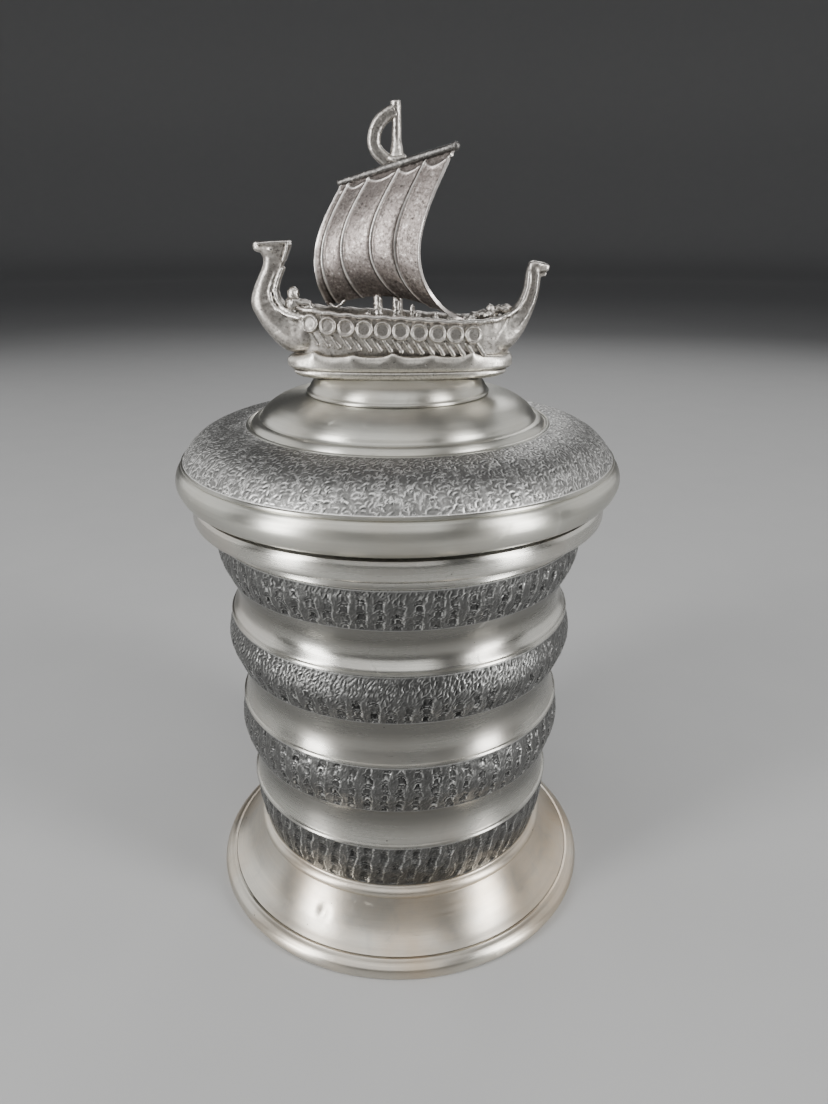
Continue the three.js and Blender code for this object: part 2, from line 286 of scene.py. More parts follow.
# Node groups that the materials share.
class Wiring:
    # short hand for adding and joining nodes in a tree
    def __init__(self, tree):
        self.tree = tree

    def add(self, kind, settings=None, **links):
        node = self.tree.nodes.new(kind if kind.startswith("Node") else "ShaderNode" + kind)
        for key, value in (settings or {}).items():
            setattr(node, key, value)
        for key, value in links.items():
            self.feed(node.inputs[int(key[1:])], value)
        return node

    def feed(self, socket, value):
        if isinstance(value, bpy.types.NodeSocket):
            self.tree.links.new(value, socket)
        else:
            socket.default_value = value

    def math(self, how, a, b=0.0, clamp=False):
        return self.add("Math", {"operation": how, "use_clamp": clamp}, i0=a, i1=b).outputs[0]

    def times(self, a, b):
        return self.math("MULTIPLY", a, b)

    def plus(self, a, b, clamp=False):
        return self.math("ADD", a, b, clamp)

    def minus(self, a, b, clamp=False):
        return self.math("SUBTRACT", a, b, clamp)

    def remap(self, value, low, high, newLow=0.0, newHigh=1.0):
        return self.add("MapRange", None, i0=value, i1=low, i2=high, i3=newLow, i4=newHigh).outputs[0]

    def mix(self, factor, a, b, how="MIX"):
        return self.add("Mix", {"data_type": "RGBA", "blend_type": how}, i0=factor, i6=a, i7=b).outputs[2]

    def noise(self, vector, scale, detail=3.0, rough=0.55, warp=0.0):
        node = self.add("TexNoise", None, i0=vector)
        for label, value in (("Scale", scale), ("Detail", detail), ("Roughness", rough),
                             ("Distortion", warp)):
            self.feed(node.inputs[label], value)
        return node.outputs[0]


def newGroup(name, inputs, outputs):
    # shader node group with named sockets: returns it, its wiring, its inputs and its outputs
    group = bpy.data.node_groups.new(name, "ShaderNodeTree")
    for label, value in inputs.items():
        group.interface.new_socket(label, in_out="INPUT", socket_type="NodeSocketFloat").default_value = value
    for label in outputs:
        group.interface.new_socket(label, in_out="OUTPUT", socket_type="NodeSocketFloat")
    wires = Wiring(group)
    start = wires.add("NodeGroupInput")
    end = wires.add("NodeGroupOutput")
    return group, wires, start.outputs, end.inputs


def objectPoint(wires):
    return wires.add("TexCoord").outputs["Object"]


def makeTurningMarks():
    # fine lines left by turning and burnishing, running round the Z axis
    group, wires, given, out = newGroup("turningMarks", {"Fineness": 2200.0}, ["Lines", "Bands"])
    point = objectPoint(wires)
    parts = wires.add("SeparateXYZ", None, i0=point).outputs
    flat = wires.add("CombineXYZ", None, i0=parts[0], i1=parts[1]).outputs[0]
    radius = wires.add("VectorMath", {"operation": "LENGTH"}, i0=flat).outputs["Value"]
    way = wires.add("VectorMath", {"operation": "NORMALIZE"}, i0=flat).outputs[0]
    wayParts = wires.add("SeparateXYZ", None, i0=way).outputs
    across = wires.minus(parts[2], wires.times(radius, 0.8))
    slow = 0.0011
    lineSpace = wires.add("CombineXYZ", None, i0=wires.times(wayParts[0], slow),
                          i1=wires.times(wayParts[1], slow), i2=across).outputs[0]
    wires.feed(out["Lines"], wires.noise(lineSpace, given["Fineness"], 4.0, 0.7))
    wires.feed(out["Bands"], wires.noise(lineSpace, 420.0, 2.0, 0.5))
    return group


def makeAgePatina():
    # clouds of tarnish in two sizes
    group, wires, given, out = newGroup("agePatina", {"Scale": 38.0, "Spread": 0.5}, ["Clouds", "Blotches"])
    point = objectPoint(wires)
    clouds = wires.noise(point, given["Scale"], 5.0, 0.6, 0.3)
    blotches = wires.noise(point, wires.times(given["Scale"], 4.5), 4.0, 0.65, 0.6)
    low = wires.minus(0.62, wires.times(given["Spread"], 0.3))
    wires.feed(out["Clouds"], wires.remap(clouds, low, 0.78))
    wires.feed(out["Blotches"], wires.remap(blotches, 0.5, 0.75))
    return group


def makeTinyPits():
    # scattered pinholes and dark specks
    group, wires, given, out = newGroup("tinyPits", {"Scale": 190.0, "Size": 0.07, "Share": 0.5}, ["Pits"])
    point = objectPoint(wires)
    cells = wires.add("TexVoronoi", None)
    wires.feed(cells.inputs["Vector"], point)
    wires.feed(cells.inputs["Scale"], given["Scale"])
    chance = wires.add("SeparateColor", None, i0=cells.outputs["Color"]).outputs[0]
    size = wires.times(given["Size"], wires.remap(chance, 0.0, 1.0, 0.4, 1.5))
    dot = wires.math("LESS_THAN", cells.outputs["Distance"], size)
    wires.feed(out["Pits"], wires.times(dot, wires.math("LESS_THAN", chance, given["Share"])))
    return group


def makeHairScratches():
    # thin wandering scratches from handling
    group, wires, given, out = newGroup("hairScratches", {"Scale": 30.0, "Width": 0.006}, ["Scratches"])
    point = objectPoint(wires)
    wander = wires.noise(point, given["Scale"], 2.0, 0.4, 1.2)
    line = wires.math("LESS_THAN", wires.math("ABSOLUTE", wires.minus(wander, 0.52)), given["Width"])
    broken = wires.remap(wires.noise(point, 210.0, 2.0), 0.5, 0.6)
    wires.feed(out["Scratches"], wires.times(line, broken))
    return group


def makeBurrLines():
    # thin raised curls of metal thrown up by the punch
    group, wires, given, out = newGroup("burrLines", {"Scale": 800.0, "Width": 0.05}, ["Burrs"])
    point = objectPoint(wires)
    contour = wires.noise(point, given["Scale"], 1.0, 0.4, 0.8)
    away = wires.math("ABSOLUTE", wires.minus(contour, 0.5))
    line = wires.minus(1.0, wires.math("DIVIDE", away, given["Width"]), clamp=True)
    broken = wires.remap(wires.noise(point, 420.0, 2.0), 0.47, 0.6)
    wires.feed(out["Burrs"], wires.times(line, broken))
    return group


def makeHollowShade():
    # reads the stored value: crevices hold tarnish, ridges are rubbed bright; on the cup wall and the sail
    # the same value carries painted shade and painted highlights
    group, wires, given, out = newGroup("hollowShade", {"Depth": 0.25, "Wear": 0.25}, ["Crevice", "Ridge"])
    stored = wires.add("Attribute", {"attribute_name": "patinaAndPaintedLight"}).outputs["Fac"]
    wires.feed(out["Crevice"], wires.remap(stored, 0.52, wires.plus(0.52, given["Depth"])))
    wires.feed(out["Ridge"], wires.remap(stored, 0.48, wires.minus(0.48, given["Wear"])))
    return group


turningMarks = makeTurningMarks()
agePatina = makeAgePatina()
tinyPits = makeTinyPits()
hairScratches = makeHairScratches()
burrLines = makeBurrLines()
hollowShade = makeHollowShade()
print("node groups ready")


def useGroup(wires, group, **values):
    node = wires.add("Group", {"node_tree": group})
    for label, value in values.items():
        wires.feed(node.inputs[label], value)
    return node.outputs


def newMaterial(name):
    material = bpy.data.materials.new(name)
    material.use_nodes = True
    shader = material.node_tree.nodes["Principled BSDF"]
    return material, Wiring(material.node_tree), shader


def bumpFrom(wires, shader, height, strength, distance):
    bump = wires.add("Bump")
    wires.feed(bump.inputs["Strength"], strength)
    wires.feed(bump.inputs["Distance"], distance * mm)
    wires.feed(bump.inputs["Height"], height)
    wires.feed(shader.inputs["Normal"], bump.outputs[0])


def rgba(colour):
    return (*colour, 1.0)


plainFinish = {
    "metal": (0.60, 0.59, 0.54),
    "deep": (0.40, 0.39, 0.365),
    # colour of the painted shade in the coves under each bead
    "paintedCoveShade": (0.17, 0.167, 0.153),
    "tarnish": (0.50, 0.425, 0.355),
    "pit": (0.07, 0.065, 0.06),
    "rough": (0.24, 0.37),
    "brushed": 0.85,
    "lineBump": 0.22,
}


def makePlainPewter(name, patina, spread, **changes):
    # spun sheet: soft silver grey with fine turning lines, clouds of tarnish and pinholes
    finish = {**plainFinish, **changes}
    material, wires, shader = newMaterial(name)
    marks = useGroup(wires, turningMarks, Fineness=2300.0)
    age = useGroup(wires, agePatina, Scale=34.0, Spread=spread)
    pits = useGroup(wires, tinyPits, Scale=190.0, Size=0.06, Share=0.5)["Pits"]
    paintedCoveShadeMask = useGroup(wires, hollowShade, Depth=0.45, Wear=0.4)["Crevice"]
    scratches = useGroup(wires, hairScratches, Scale=26.0, Width=0.004)["Scratches"]
    lines = wires.remap(marks["Lines"], 0.3, 0.7)
    bands = wires.remap(marks["Bands"], 0.35, 0.7)
    colour = wires.mix(wires.times(lines, 0.35), rgba(finish["metal"]), rgba(finish["deep"]))
    colour = wires.mix(wires.times(bands, 0.22), colour, rgba(finish["deep"]))
    colour = wires.mix(wires.times(age["Clouds"], patina), colour, rgba(finish["tarnish"]))
    colour = wires.mix(wires.times(age["Blotches"], patina * 0.5), colour, rgba(finish["deep"]))
    # painted shade in the cup's coves, read from the value that buildWall stores
    colour = wires.mix(paintedCoveShadeMask, colour, rgba(finish["paintedCoveShade"]))
    colour = wires.mix(wires.times(pits, 0.8), colour, rgba(finish["pit"]))
    wires.feed(shader.inputs["Base Color"], colour)
    shader.inputs["Metallic"].default_value = 1.0
    # the turning lines run round the axis, so highlights stretch up and down
    shader.inputs["Anisotropic"].default_value = finish["brushed"]
    shader.inputs["Anisotropic Rotation"].default_value = 0.25
    low, high = finish["rough"]
    rough = wires.remap(lines, 0.0, 1.0, low, (low + high) / 2)
    rough = wires.plus(rough, wires.times(age["Clouds"], (high - low) * 0.6))
    rough = wires.plus(rough, wires.times(scratches, 0.12), clamp=True)
    wires.feed(shader.inputs["Roughness"], rough)
    height = wires.minus(lines, wires.times(pits, 3.0))
    height = wires.minus(height, wires.times(scratches, 0.25))
    height = wires.plus(height, wires.times(age["Blotches"], 0.4))
    bumpFrom(wires, shader, height, finish["lineBump"], 0.03)
    return material


workedFinish = {
    "metal": (0.47, 0.445, 0.41), "tarnish": (0.30, 0.265, 0.235), "crevice": (0.05, 0.044, 0.038),
    "ridge": (0.72, 0.69, 0.65), "depth": 0.2, "wear": 0.4, "clouds": 0.8, "speck": 0.5,
    "rough": (0.27, 0.45),
    "burr": 0.0, "burrScale": 500.0, "bump": 0.8, "grime": 0.75, "glint": 0.4,
}


def makeWorkedPewter(name, **changes):
    # chased or cast surface: dark tarnish down in the hollows and rubbed metal on the ridges
    values = {**workedFinish, **changes}
    material, wires, shader = newMaterial(name)
    metal, crevice, ridge = rgba(values["metal"]), rgba(values["crevice"]), rgba(values["ridge"])
    shade = useGroup(wires, hollowShade, Depth=values["depth"], Wear=values["wear"])
    age = useGroup(wires, agePatina, Scale=60.0, Spread=0.7)
    pits = useGroup(wires, tinyPits, Scale=620.0, Size=0.2, Share=values["speck"])["Pits"]
    burrs = useGroup(wires, burrLines, Scale=values["burrScale"], Width=0.06)["Burrs"]
    grain = wires.noise(objectPoint(wires), 1500.0, 4.0, 0.7)
    colour = wires.mix(wires.times(age["Clouds"], values["clouds"]), metal, rgba(values["tarnish"]))
    colour = wires.mix(wires.times(wires.remap(grain, 0.45, 0.7), 0.25), colour, crevice)
    fine = wires.noise(objectPoint(wires), 1500.0, 3.0, 0.65)
    patchy = wires.remap(age["Blotches"], 0.0, 1.0, 0.45, 1.0)
    grime = wires.times(wires.remap(fine, 0.53, 0.60), patchy)
    # painted glints: bright specks of the ridge colour standing in for sparkles of light
    glints = wires.remap(fine, 0.40, 0.33)
    colour = wires.mix(wires.times(grime, values["grime"]), colour, crevice)
    colour = wires.mix(wires.times(glints, values["glint"]), colour, ridge)
    colour = wires.mix(wires.times(pits, 0.6), colour, crevice)
    colour = wires.mix(shade["Crevice"], colour, crevice)
    colour = wires.mix(wires.times(burrs, values["burr"]), colour, ridge)
    colour = wires.mix(shade["Ridge"], colour, ridge)
    wires.feed(shader.inputs["Base Color"], colour)
    shader.inputs["Metallic"].default_value = 1.0
    surface = wires.remap(grain, 0.3, 0.7, *values["rough"])
    surface = wires.plus(surface, wires.times(shade["Crevice"], 0.25))
    surface = wires.minus(surface, wires.times(shade["Ridge"], 0.1), clamp=True)
    wires.feed(shader.inputs["Roughness"], surface)
    height = wires.minus(wires.times(grain, 0.5), wires.times(pits, 0.6))
    height = wires.plus(height, wires.times(burrs, values["burr"] * 1.6))
    bumpFrom(wires, shader, height, values["bump"], 0.06)
    return material


wallPewter = makePlainPewter("wallPewter", 0.5, 0.6)
footPewter = makePlainPewter("footPewter", 0.85, 0.9, metal=(0.67, 0.635, 0.555), tarnish=(0.63, 0.49, 0.34),
                             rough=(0.27, 0.42), brushed=0.7)
lidPewter = makePlainPewter("lidPewter", 0.5, 0.7, metal=(0.56, 0.555, 0.50), tarnish=(0.52, 0.47, 0.38),
                            rough=(0.29, 0.42), brushed=0.8)
insidePewter = makePlainPewter("insidePewter", 0.7, 0.9, rough=(0.38, 0.56))
screwSteel = makePlainPewter("screwSteel", 0.1, 0.2, rough=(0.2, 0.3))
chasedPewter = makeWorkedPewter(
    "chasedPewter", metal=(0.14, 0.14, 0.136), tarnish=(0.10, 0.098, 0.094), crevice=(0.022, 0.022, 0.022),
    ridge=(0.60, 0.60, 0.58), depth=0.36, clouds=0.6, speck=0.2, rough=(0.30, 0.44), burr=0.25,
    burrScale=900.0,
    bump=0.4, grime=0.12, glint=0.06)
lidChasedPewter = makeWorkedPewter(
    "lidChasedPewter", metal=(0.215, 0.213, 0.205), tarnish=(0.16, 0.157, 0.15), crevice=(0.06, 0.06, 0.058),
    ridge=(0.72, 0.715, 0.695), depth=0.4, wear=0.22, clouds=0.5, speck=0.2, rough=(0.42, 0.56), burr=0.9,
    burrScale=800.0, bump=0.4, grime=0.2, glint=0.3)
castPewter = makeWorkedPewter("castPewter")
seaPewter = makeWorkedPewter(
    "seaPewter", metal=(0.60, 0.575, 0.525), tarnish=(0.42, 0.38, 0.325), crevice=(0.07, 0.062, 0.052),
    ridge=(0.78, 0.75, 0.70), clouds=0.7, speck=0.4, rough=(0.26, 0.42), bump=0.5, grime=0.35, glint=0.3)
sailPewter = makeWorkedPewter(
    "sailPewter", metal=(0.275, 0.24, 0.223), tarnish=(0.18, 0.157, 0.143), ridge=(0.86, 0.82, 0.78),
    crevice=(0.05, 0.044, 0.04), depth=0.3, wear=0.3, speck=0.8, rough=(0.32, 0.5), burr=0.15,
    burrScale=420.0,
    grime=0.85, glint=0.35)
sparPewter = makeWorkedPewter(
    "sparPewter", metal=(0.12, 0.115, 0.11), tarnish=(0.07, 0.067, 0.065), crevice=(0.02, 0.02, 0.02),
    ridge=(0.50, 0.48, 0.45), depth=0.3, wear=0.5, clouds=0.6, speck=0.3, rough=(0.36, 0.5), burr=0.2,
    burrScale=600.0, bump=0.6, grime=0.5, glint=0.5)
print("materials ready")


# The cup: four chased beads with plain coves between them.
# Each bead, low to high, in mm: heights and radii of its lower edge, belly and upper line. Columns of
# stacked marks fill it up to the share "regular" of its height, and loose strokes fill the rest.
beads = [
    {"z": (19.4, 33.5), "r": (41.2, 42.9, 43.4), "half": 1.2, "mark": 1.5, "arch": 0.5, "lean": 2.4,
     "regular": 1.3, "stack": 0.45, "side": 1.3},
    {"z": (45.6, 59.7), "r": (43.9, 45.9, 45.0), "half": 1.0, "mark": 1.05, "arch": 0.55, "lean": 0.9,
     "regular": 1.3, "stack": 1.0, "side": 0.8},
    {"z": (72.6, 86.2), "r": (45.3, 47.6, 46.4), "half": 1.2, "mark": 1.5, "arch": 0.8, "lean": 0.3,
     "regular": 0.5, "stack": 1.15, "side": 0.9},
    {"z": (98.0, 109.4), "r": (46.3, 48.5, 48.9), "half": 1.15, "mark": 1.15, "arch": 0.8, "lean": 0.5,
     "regular": 0.84, "stack": 0.9, "side": 1.3},
]
coveWaists = [42.5, 43.4, 44.1]

wallValues = {"steps": 360, "mouthR": 49.0, "mouthZ": 118.6, "thick": 1.5, "seat": 1.1, "lineProud": 0.3,
              "lip": 0.45}


def wallOutline():
    v = wallValues
    seat, lip, mouth, top = v["seat"], v["lip"], v["mouthR"], v["mouthZ"]
    line = []
    for i, bead in enumerate(beads):
        (z0, z1), (r0, belly, r1) = bead["z"], bead["r"]
        # seat behind the bead, then the raised line that closes its top
        line += smoothLine([(r0 - seat, z0), (belly - seat, (z0 + z1) / 2), (r1 - seat, z1)], 4)
        if i == len(beads) - 1:
            line += [(r1 - 0.1, z1 + 0.02), (r1 + 0.12, z1 + 0.4), (r1 + 0.02, z1 + 0.85),
                     (mouth - 0.1, z1 + 1.6),
                     (mouth, z1 + 3.0)]
            break
        nextZ, nextR = beads[i + 1]["z"][0], beads[i + 1]["r"][0]
        line += [(r1 - 0.1, z1 + 0.02), (r1 + v["lineProud"], z1 + 0.3), (r1 + 0.1, z1 + 0.75),
                 (r1 - 0.35, z1 + 0.95)]
        waist, middle = coveWaists[i], (z1 + nextZ) / 2
        line += smoothLine([(r1 - 0.45, z1 + 1.3), (waist + 0.15, middle - 2.2), (waist, middle + 0.6),
                            (nextR - lip - 0.55, nextZ - 2.0), (nextR - lip, nextZ - 0.06)], 10)
    line += [(mouth, top - 0.5), (mouth - 0.4, top)]
    inner = [(mouth - v["thick"] + 0.3, top), (mouth - v["thick"], top - 0.5)]
    inner += [(beads[3]["r"][0] - 2.2, beads[3]["z"][0])]
    for i in (2, 1, 0):
        inner += [(coveWaists[i] - v["thick"], (beads[i]["z"][1] + beads[i + 1]["z"][0]) / 2),
                  (beads[i]["r"][1] - 2.2, sum(beads[i]["z"]) / 2)]
    inner += [(beads[0]["r"][0] - 2.0, beads[0]["z"][0])]
    return line + inner[:1] + smoothLine(inner[1:], 6)


def buildWall():
    piece = finishSpun("cupWall", wallOutline(), wallPewter, "body_shell", wallValues["steps"])
    # painted shade: each cove is darkened under the bead above it, standing in for the bead's shadow and a
    # dark reflection
    height = readPoints(piece.data)[:, 2]
    paintedCoveShade = np.zeros(len(height))
    for lower, upper in zip(beads, beads[1:]):
        t = (height - lower["z"][1]) / (upper["z"][0] - lower["z"][1])
        paintedCoveShade = np.maximum(paintedCoveShade, smoothStep(0.0, 0.8, t) * (1 - smoothStep(1.0, 1.02, t)))
    storeHollow(piece.data, 0.5 + 0.42 * paintedCoveShade)


chaseValues = {"steps": 1200, "spacing": 0.22, "pitch": 4.25, "depth": 0.34, "lip": 0.15}
strokeValues = {"cell": (1.25, 0.85), "long": 0.6, "thin": 0.19, "turn": 1.15, "scatter": 0.35, "bow": 0.4}


def columnMarks(across, up, height, columns, band, seed):
    # columns of stacked arched punch marks: across in columns, up in mm from the lower edge
    v = chaseValues
    draw = np.random.default_rng(seed)
    across = across - band["lean"] * (up / height - 0.5) / v["pitch"]
    column = np.round(across).astype(int) % columns
    shift, sway, start, force = (draw.uniform(low, high, columns)[column]
                                 for low, high in ((-0.3, 0.3), (0, fullTurn), (0, 1), (0.65, 1.15)))
    off = (across - np.round(across)) * v["pitch"] - shift - 0.16 * np.sin(up * 1.3 + sway)
    level = ((up + band["arch"] * (off / band["half"]) ** 2) / band["mark"] + start
             + 0.4 * np.sin(up * 2.3 + sway * 3))
    step = np.floor(level)
    fall = level - step
    # no mark sits or spreads quite like the one below it
    half = band["half"] * (1 + 0.2 * np.sin(step * 12.9 + column * 78.2))
    off = off + 0.26 * np.sin(step * 7.3 + column * 3.1)
    force = force * (0.8 + 0.35 * np.sin(step * 4.7 + column * 9.7))
    inside = (1 - smoothStep(0.8, 1.05, np.abs(off) / half)) * band["stack"]
    burr = np.exp(-(fall * band["mark"] / 0.22) ** 2)
    edge = (np.exp(-((off - half - 0.12) / 0.2) ** 2) + 0.35 * np.exp(-((off + half + 0.12) / 0.2) ** 2))
    edge *= band["side"] * (0.65 + 0.35 * np.sin(fullTurn * fall))
    trough = np.exp(-((off + 0.25 * half) / (0.75 * half)) ** 2) * (1 - band["stack"]) * 0.9
    gouge = inside * (0.3 + 0.7 * fall ** 1.5) + np.maximum(trough, 0)
    depth = force * (-v["depth"] * gouge + v["lip"] * (inside * burr + edge))
    tone = 0.52 + force * (0.38 * gouge - 0.85 * inside * burr - 0.55 * edge)
    return depth, tone


def looseStrokes(across, up, seed, v):
    # short strokes struck one by one, one in each cell of a jittered grid
    draw = np.random.default_rng(seed)
    cell = v["cell"]
    wide, tall = int(across.max() // cell[0]) + 3, int(up.max() // cell[1]) + 4
    centre = draw.uniform(-0.42, 0.42, (wide, tall, 2))
    turn = draw.normal(v["turn"], v["scatter"], (wide, tall))
    force = draw.uniform(0.25, 1.0, (wide, tall))
    dent, bank = np.zeros(len(across)), np.zeros(len(across))
    column, row = np.floor(across / cell[0]).astype(int), np.floor(up / cell[1]).astype(int)
    for dx in (-1, 0, 1):
        for dz in (-1, 0, 1):
            i, j = (column + dx) % wide, np.clip(row + dz + 1, 0, tall - 1)
            x = across - (column + dx + 0.5 + centre[i, j, 0]) * cell[0]
            z = up - (row + dz + 0.5 + centre[i, j, 1]) * cell[1]
            c, s = np.cos(turn[i, j]), np.sin(turn[i, j])
            along, beside = (x * c + z * s) / v["long"], (-x * s + z * c) / v["thin"]
            bowed = beside + v["bow"] * along ** 2
            dent = np.maximum(dent, force[i, j] * np.exp(-(along ** 4) - bowed ** 2))
            bank = np.maximum(bank, force[i, j] * np.exp(-(along ** 4) - (bowed - 1.7) ** 2 * 1.4))
    return chaseValues["lip"] * bank - chaseValues["depth"] * dent, 0.52 + 0.5 * dent - 0.62 * bank


def chaseSurface(mesh, up, height, radius, band, strokes, seed):
    # strikes the marks into the outward side of a plain ring; up is each point's place across the band
    points, normals = readPoints(mesh), readNormals(mesh)
    angle = np.arctan2(points[:, 1], points[:, 0])
    columns = round(fullTurn * radius / chaseValues["pitch"])
    across = angle / fullTurn * columns
    outward = (normals[:, :2] * points[:, :2]).sum(axis=1) / np.hypot(*points[:, :2].T)
    strike = smoothStep(0.1, 0.5, outward + normals[:, 2] * band.get("rise", 0))
    strike *= smoothStep(0.15, 0.7, up) * (1 - smoothStep(height - 0.75, height - 0.25, up))
    stacked, stackedTone = columnMarks(across, up, height, columns, band, seed)
    loose, looseTone = looseStrokes((angle + math.pi) * radius, up + 2, seed + 50, strokes)
    wander = 0.09 * np.sin(across * 1.7 + seed) + 0.07 * np.sin(across * 4.1)
    upper = smoothStep(band["regular"] - 0.1, band["regular"] + 0.1, up / height + wander)
    # smooth patches left between the columns
    patch = band.get("patch", 0) * smoothStep(0.24, 0.36,
                                              np.abs(across - np.round(across)) + 0.05 * np.sin(up * 2))
    patch *= smoothStep(0.04, 0.12, up / height) * (1 - smoothStep(0.42, 0.62, up / height + wander))
    kept = 1 - 0.85 * patch
    share = 0.3 + 0.7 * upper
    depth = (stacked * (1 - upper) + loose * share) * kept + 0.03 * ripple(points, 2.4, seed)
    tone = ((stackedTone - 0.5) * (1 - upper) + (looseTone - 0.5) * share) * kept - 0.12 * patch
    writePoints(mesh, points + normals * (depth * strike * band.get("force", 1.0))[:, None])
    edges = np.exp(-(up / 0.22) ** 2) + np.exp(-((height - up) / 0.3) ** 2)
    storeHollow(mesh, 0.5 + tone * strike - 0.35 * edges)


def buildBeads():
    v = chaseValues
    for i, bead in enumerate(beads):
        (z0, z1), (r0, belly, r1) = bead["z"], bead["r"]
        belt = smoothLine([(r0, z0 + 0.12), (belly, (z0 + z1) / 2), (r1, z1 - 0.05)], 12)
        face = evenLine(belt, v["spacing"])
        back = [(r - 1.0, z) for r, z in (face[-1], face[len(face) // 2], face[0])]
        outline = [(r0 - 0.25, z0)] + face + [(r1 - 0.3, z1)] + back
        bm = turned(outline, v["steps"])
        piece = finishPiece(f"chasedBead{i + 1}", bm, "cup", "chased_pewter", chasedPewter)
        up = readPoints(piece.data)[:, 2] - z0
        chaseSurface(piece.data, up, z1 - z0, belly, bead, strokeValues, 11 + i)


def buildFoot():
    ring = [(50.6, 0.0), (53.7, 0.0)]
    ring += smoothLine([(54.4, 0.25), (54.95, 1.2), (55.0, 2.2), (54.6, 3.3), (53.9, 4.0)], 6)
    ring += [(53.5, 4.35), (53.0, 4.6), (52.5, 4.72), (52.2, 4.95), (51.6, 4.9), (51.5, 4.0), (50.9, 2.4)]
    finishSpun("footRing", ring, footPewter, "foot_ring")
    top = beads[0]["z"][0]
    flare = smoothLine([(51.45, 5.0), (50.9, 5.35), (49.2, 6.5), (46.9, 8.6), (44.6, 11.7), (42.9, 14.6),
                        (42.25, 15.9)], 6)
    lip = smoothLine([(42.3, 15.95), (42.75, 16.35), (42.95, 17.1), (42.75, 17.9), (42.1, 18.6),
                      (41.4, 18.95),
                      (41.25, top - 0.1)], 4)
    inside = smoothLine([(39.8, top - 0.1), (40.2, 15.0), (42.6, 11.0), (46.2, 7.2), (51.0, 4.0)], 5)
    skirt = finishSpun("footSkirt", flare + lip + inside, footPewter, "foot_skirt")
    # an old knock at the front of the flare
    points = readPoints(skirt.data)
    knock = np.array([-21.6, -40.6, 10.0])
    near = np.exp(-(np.linalg.norm((points - knock) / (1.6, 1.6, 2.2), axis=1)) ** 2)
    points[:, 2] -= 0.2 * near
    points[:, :2] *= (1 - 0.006 * near)[:, None]
    writePoints(skirt.data, points)


def buildCupBottom():
    z0, z1 = heightOf("base_floor", 0), heightOf("base_floor", 1)
    edge = [(38.6, z1), (39.1, z1 - 0.2), (39.2, z1 - 0.5), (39.2, z0 + 0.5), (39.1, z0 + 0.2), (38.6, z0)]
    finishSpun("cupBottom", [(0, z1)] + edge + [(0, z0)], insidePewter, "base_floor", 240)


def buildRimBand():
    z0, z1 = heightOf("rim_band", 0), heightOf("rim_band", 1)
    r = wallValues["mouthR"]
    outline = [(r + 0.02, z0 + 0.1), (r + 1.8, z0 + 0.05), (r + 4.0, z0 + 0.35)]
    outline += smoothLine([(r + 4.75, z0 + 0.8), (r + 5.2, z0 + 1.5), (r + 5.3, z0 + 2.7),
                           (r + 5.15, z1 - 1.3), (r + 4.9, z1 - 0.6)], 5)
    outline += [(r + 4.6, z1 - 0.12), (r + 3.8, z1), (r + 0.9, z1), (r + 0.02, z1 - 0.25)]
    finishSpun("rimBand", outline, wallPewter, "rim_band")


buildWall()
buildBeads()
buildFoot()
buildCupBottom()
buildRimBand()
print("cup ready")


# The lid.
lidValues = {"steps": 360, "edgeR": 53.6, "wideR": 57.75, "grooveR": 56.2, "grooveZ": 128.1}
lidBand = {"half": 1.1, "mark": 1.25, "arch": 0.7, "lean": 0.4, "regular": -1, "stack": 1.0, "side": 0.8,
           "rise": 1.0, "force": 0.5, "patch": 0.55}
lidStrokes = {"cell": (1.35, 1.05), "long": 0.6, "thin": 0.2, "turn": 0.9, "scatter": 0.75, "bow": 1.0}


def buildLidEdge():
    z0, v = heightOf("lid_shell", 0), lidValues
    rim, wide, r, z = v["edgeR"], v["wideR"], v["grooveR"], v["grooveZ"]
    edge = smoothLine([(rim, z0 + 0.3), (rim + 0.75, z0 + 0.35), (rim + 2.3, z0 + 1.3),
                       (wide - 0.75, z0 + 2.7),
                       (wide, z0 + 4.8), (wide - 0.3, z0 + 6.9), (r + 0.45, z0 + 8.4)], 8)
    grooves = [(r + 0.1, z - 0.35), (r - 0.35, z - 0.1), (r - 0.05, z + 0.2), (r - 0.15, z + 0.6),
               (r - 0.65, z + 0.85)]
    inside = smoothLine([(r - 2.2, z + 0.3), (wide - 1.6, z0 + 4.8), (rim + 0.3, z0 + 1.2)], 6)
    outline = [(rim - 0.2, z0 + 0.35)] + edge[1:] + grooves + inside
    finishSpun("lidEdge", outline, lidPewter, "lid_shell", v["steps"], "lid")


def buildLidBand():
    v = lidValues
    curve = smoothLine([(v["grooveR"] - 0.55, v["grooveZ"] + 0.75), (54.3, 131.0), (51.6, 133.7),
                        (48.2, 135.5),
                        (44.4, 136.6), (40.6, 136.95), (39.0, 136.8)], 10)
    face = evenLine(curve, 0.235)
    back = [(39.0, 135.3), (44.4, 135.0), (49.5, 133.3), (52.6, 131.2), (54.0, 128.9)]
    bm = turned(face + back, 1000)
    piece = finishPiece("chasedLidBand", bm, "lid", "chased_pewter", lidChasedPewter)
    # the place across the band follows its curve
    line = np.array(face)
    along = np.concatenate([[0], np.cumsum(np.hypot(*np.diff(line, axis=0).T))])
    points = readPoints(piece.data)
    up = np.interp(points[:, 2] - np.hypot(*points[:, :2].T), line[:, 1] - line[:, 0], along)
    chaseSurface(piece.data, up, along[-1], 50.0, lidBand, lidStrokes, 31)


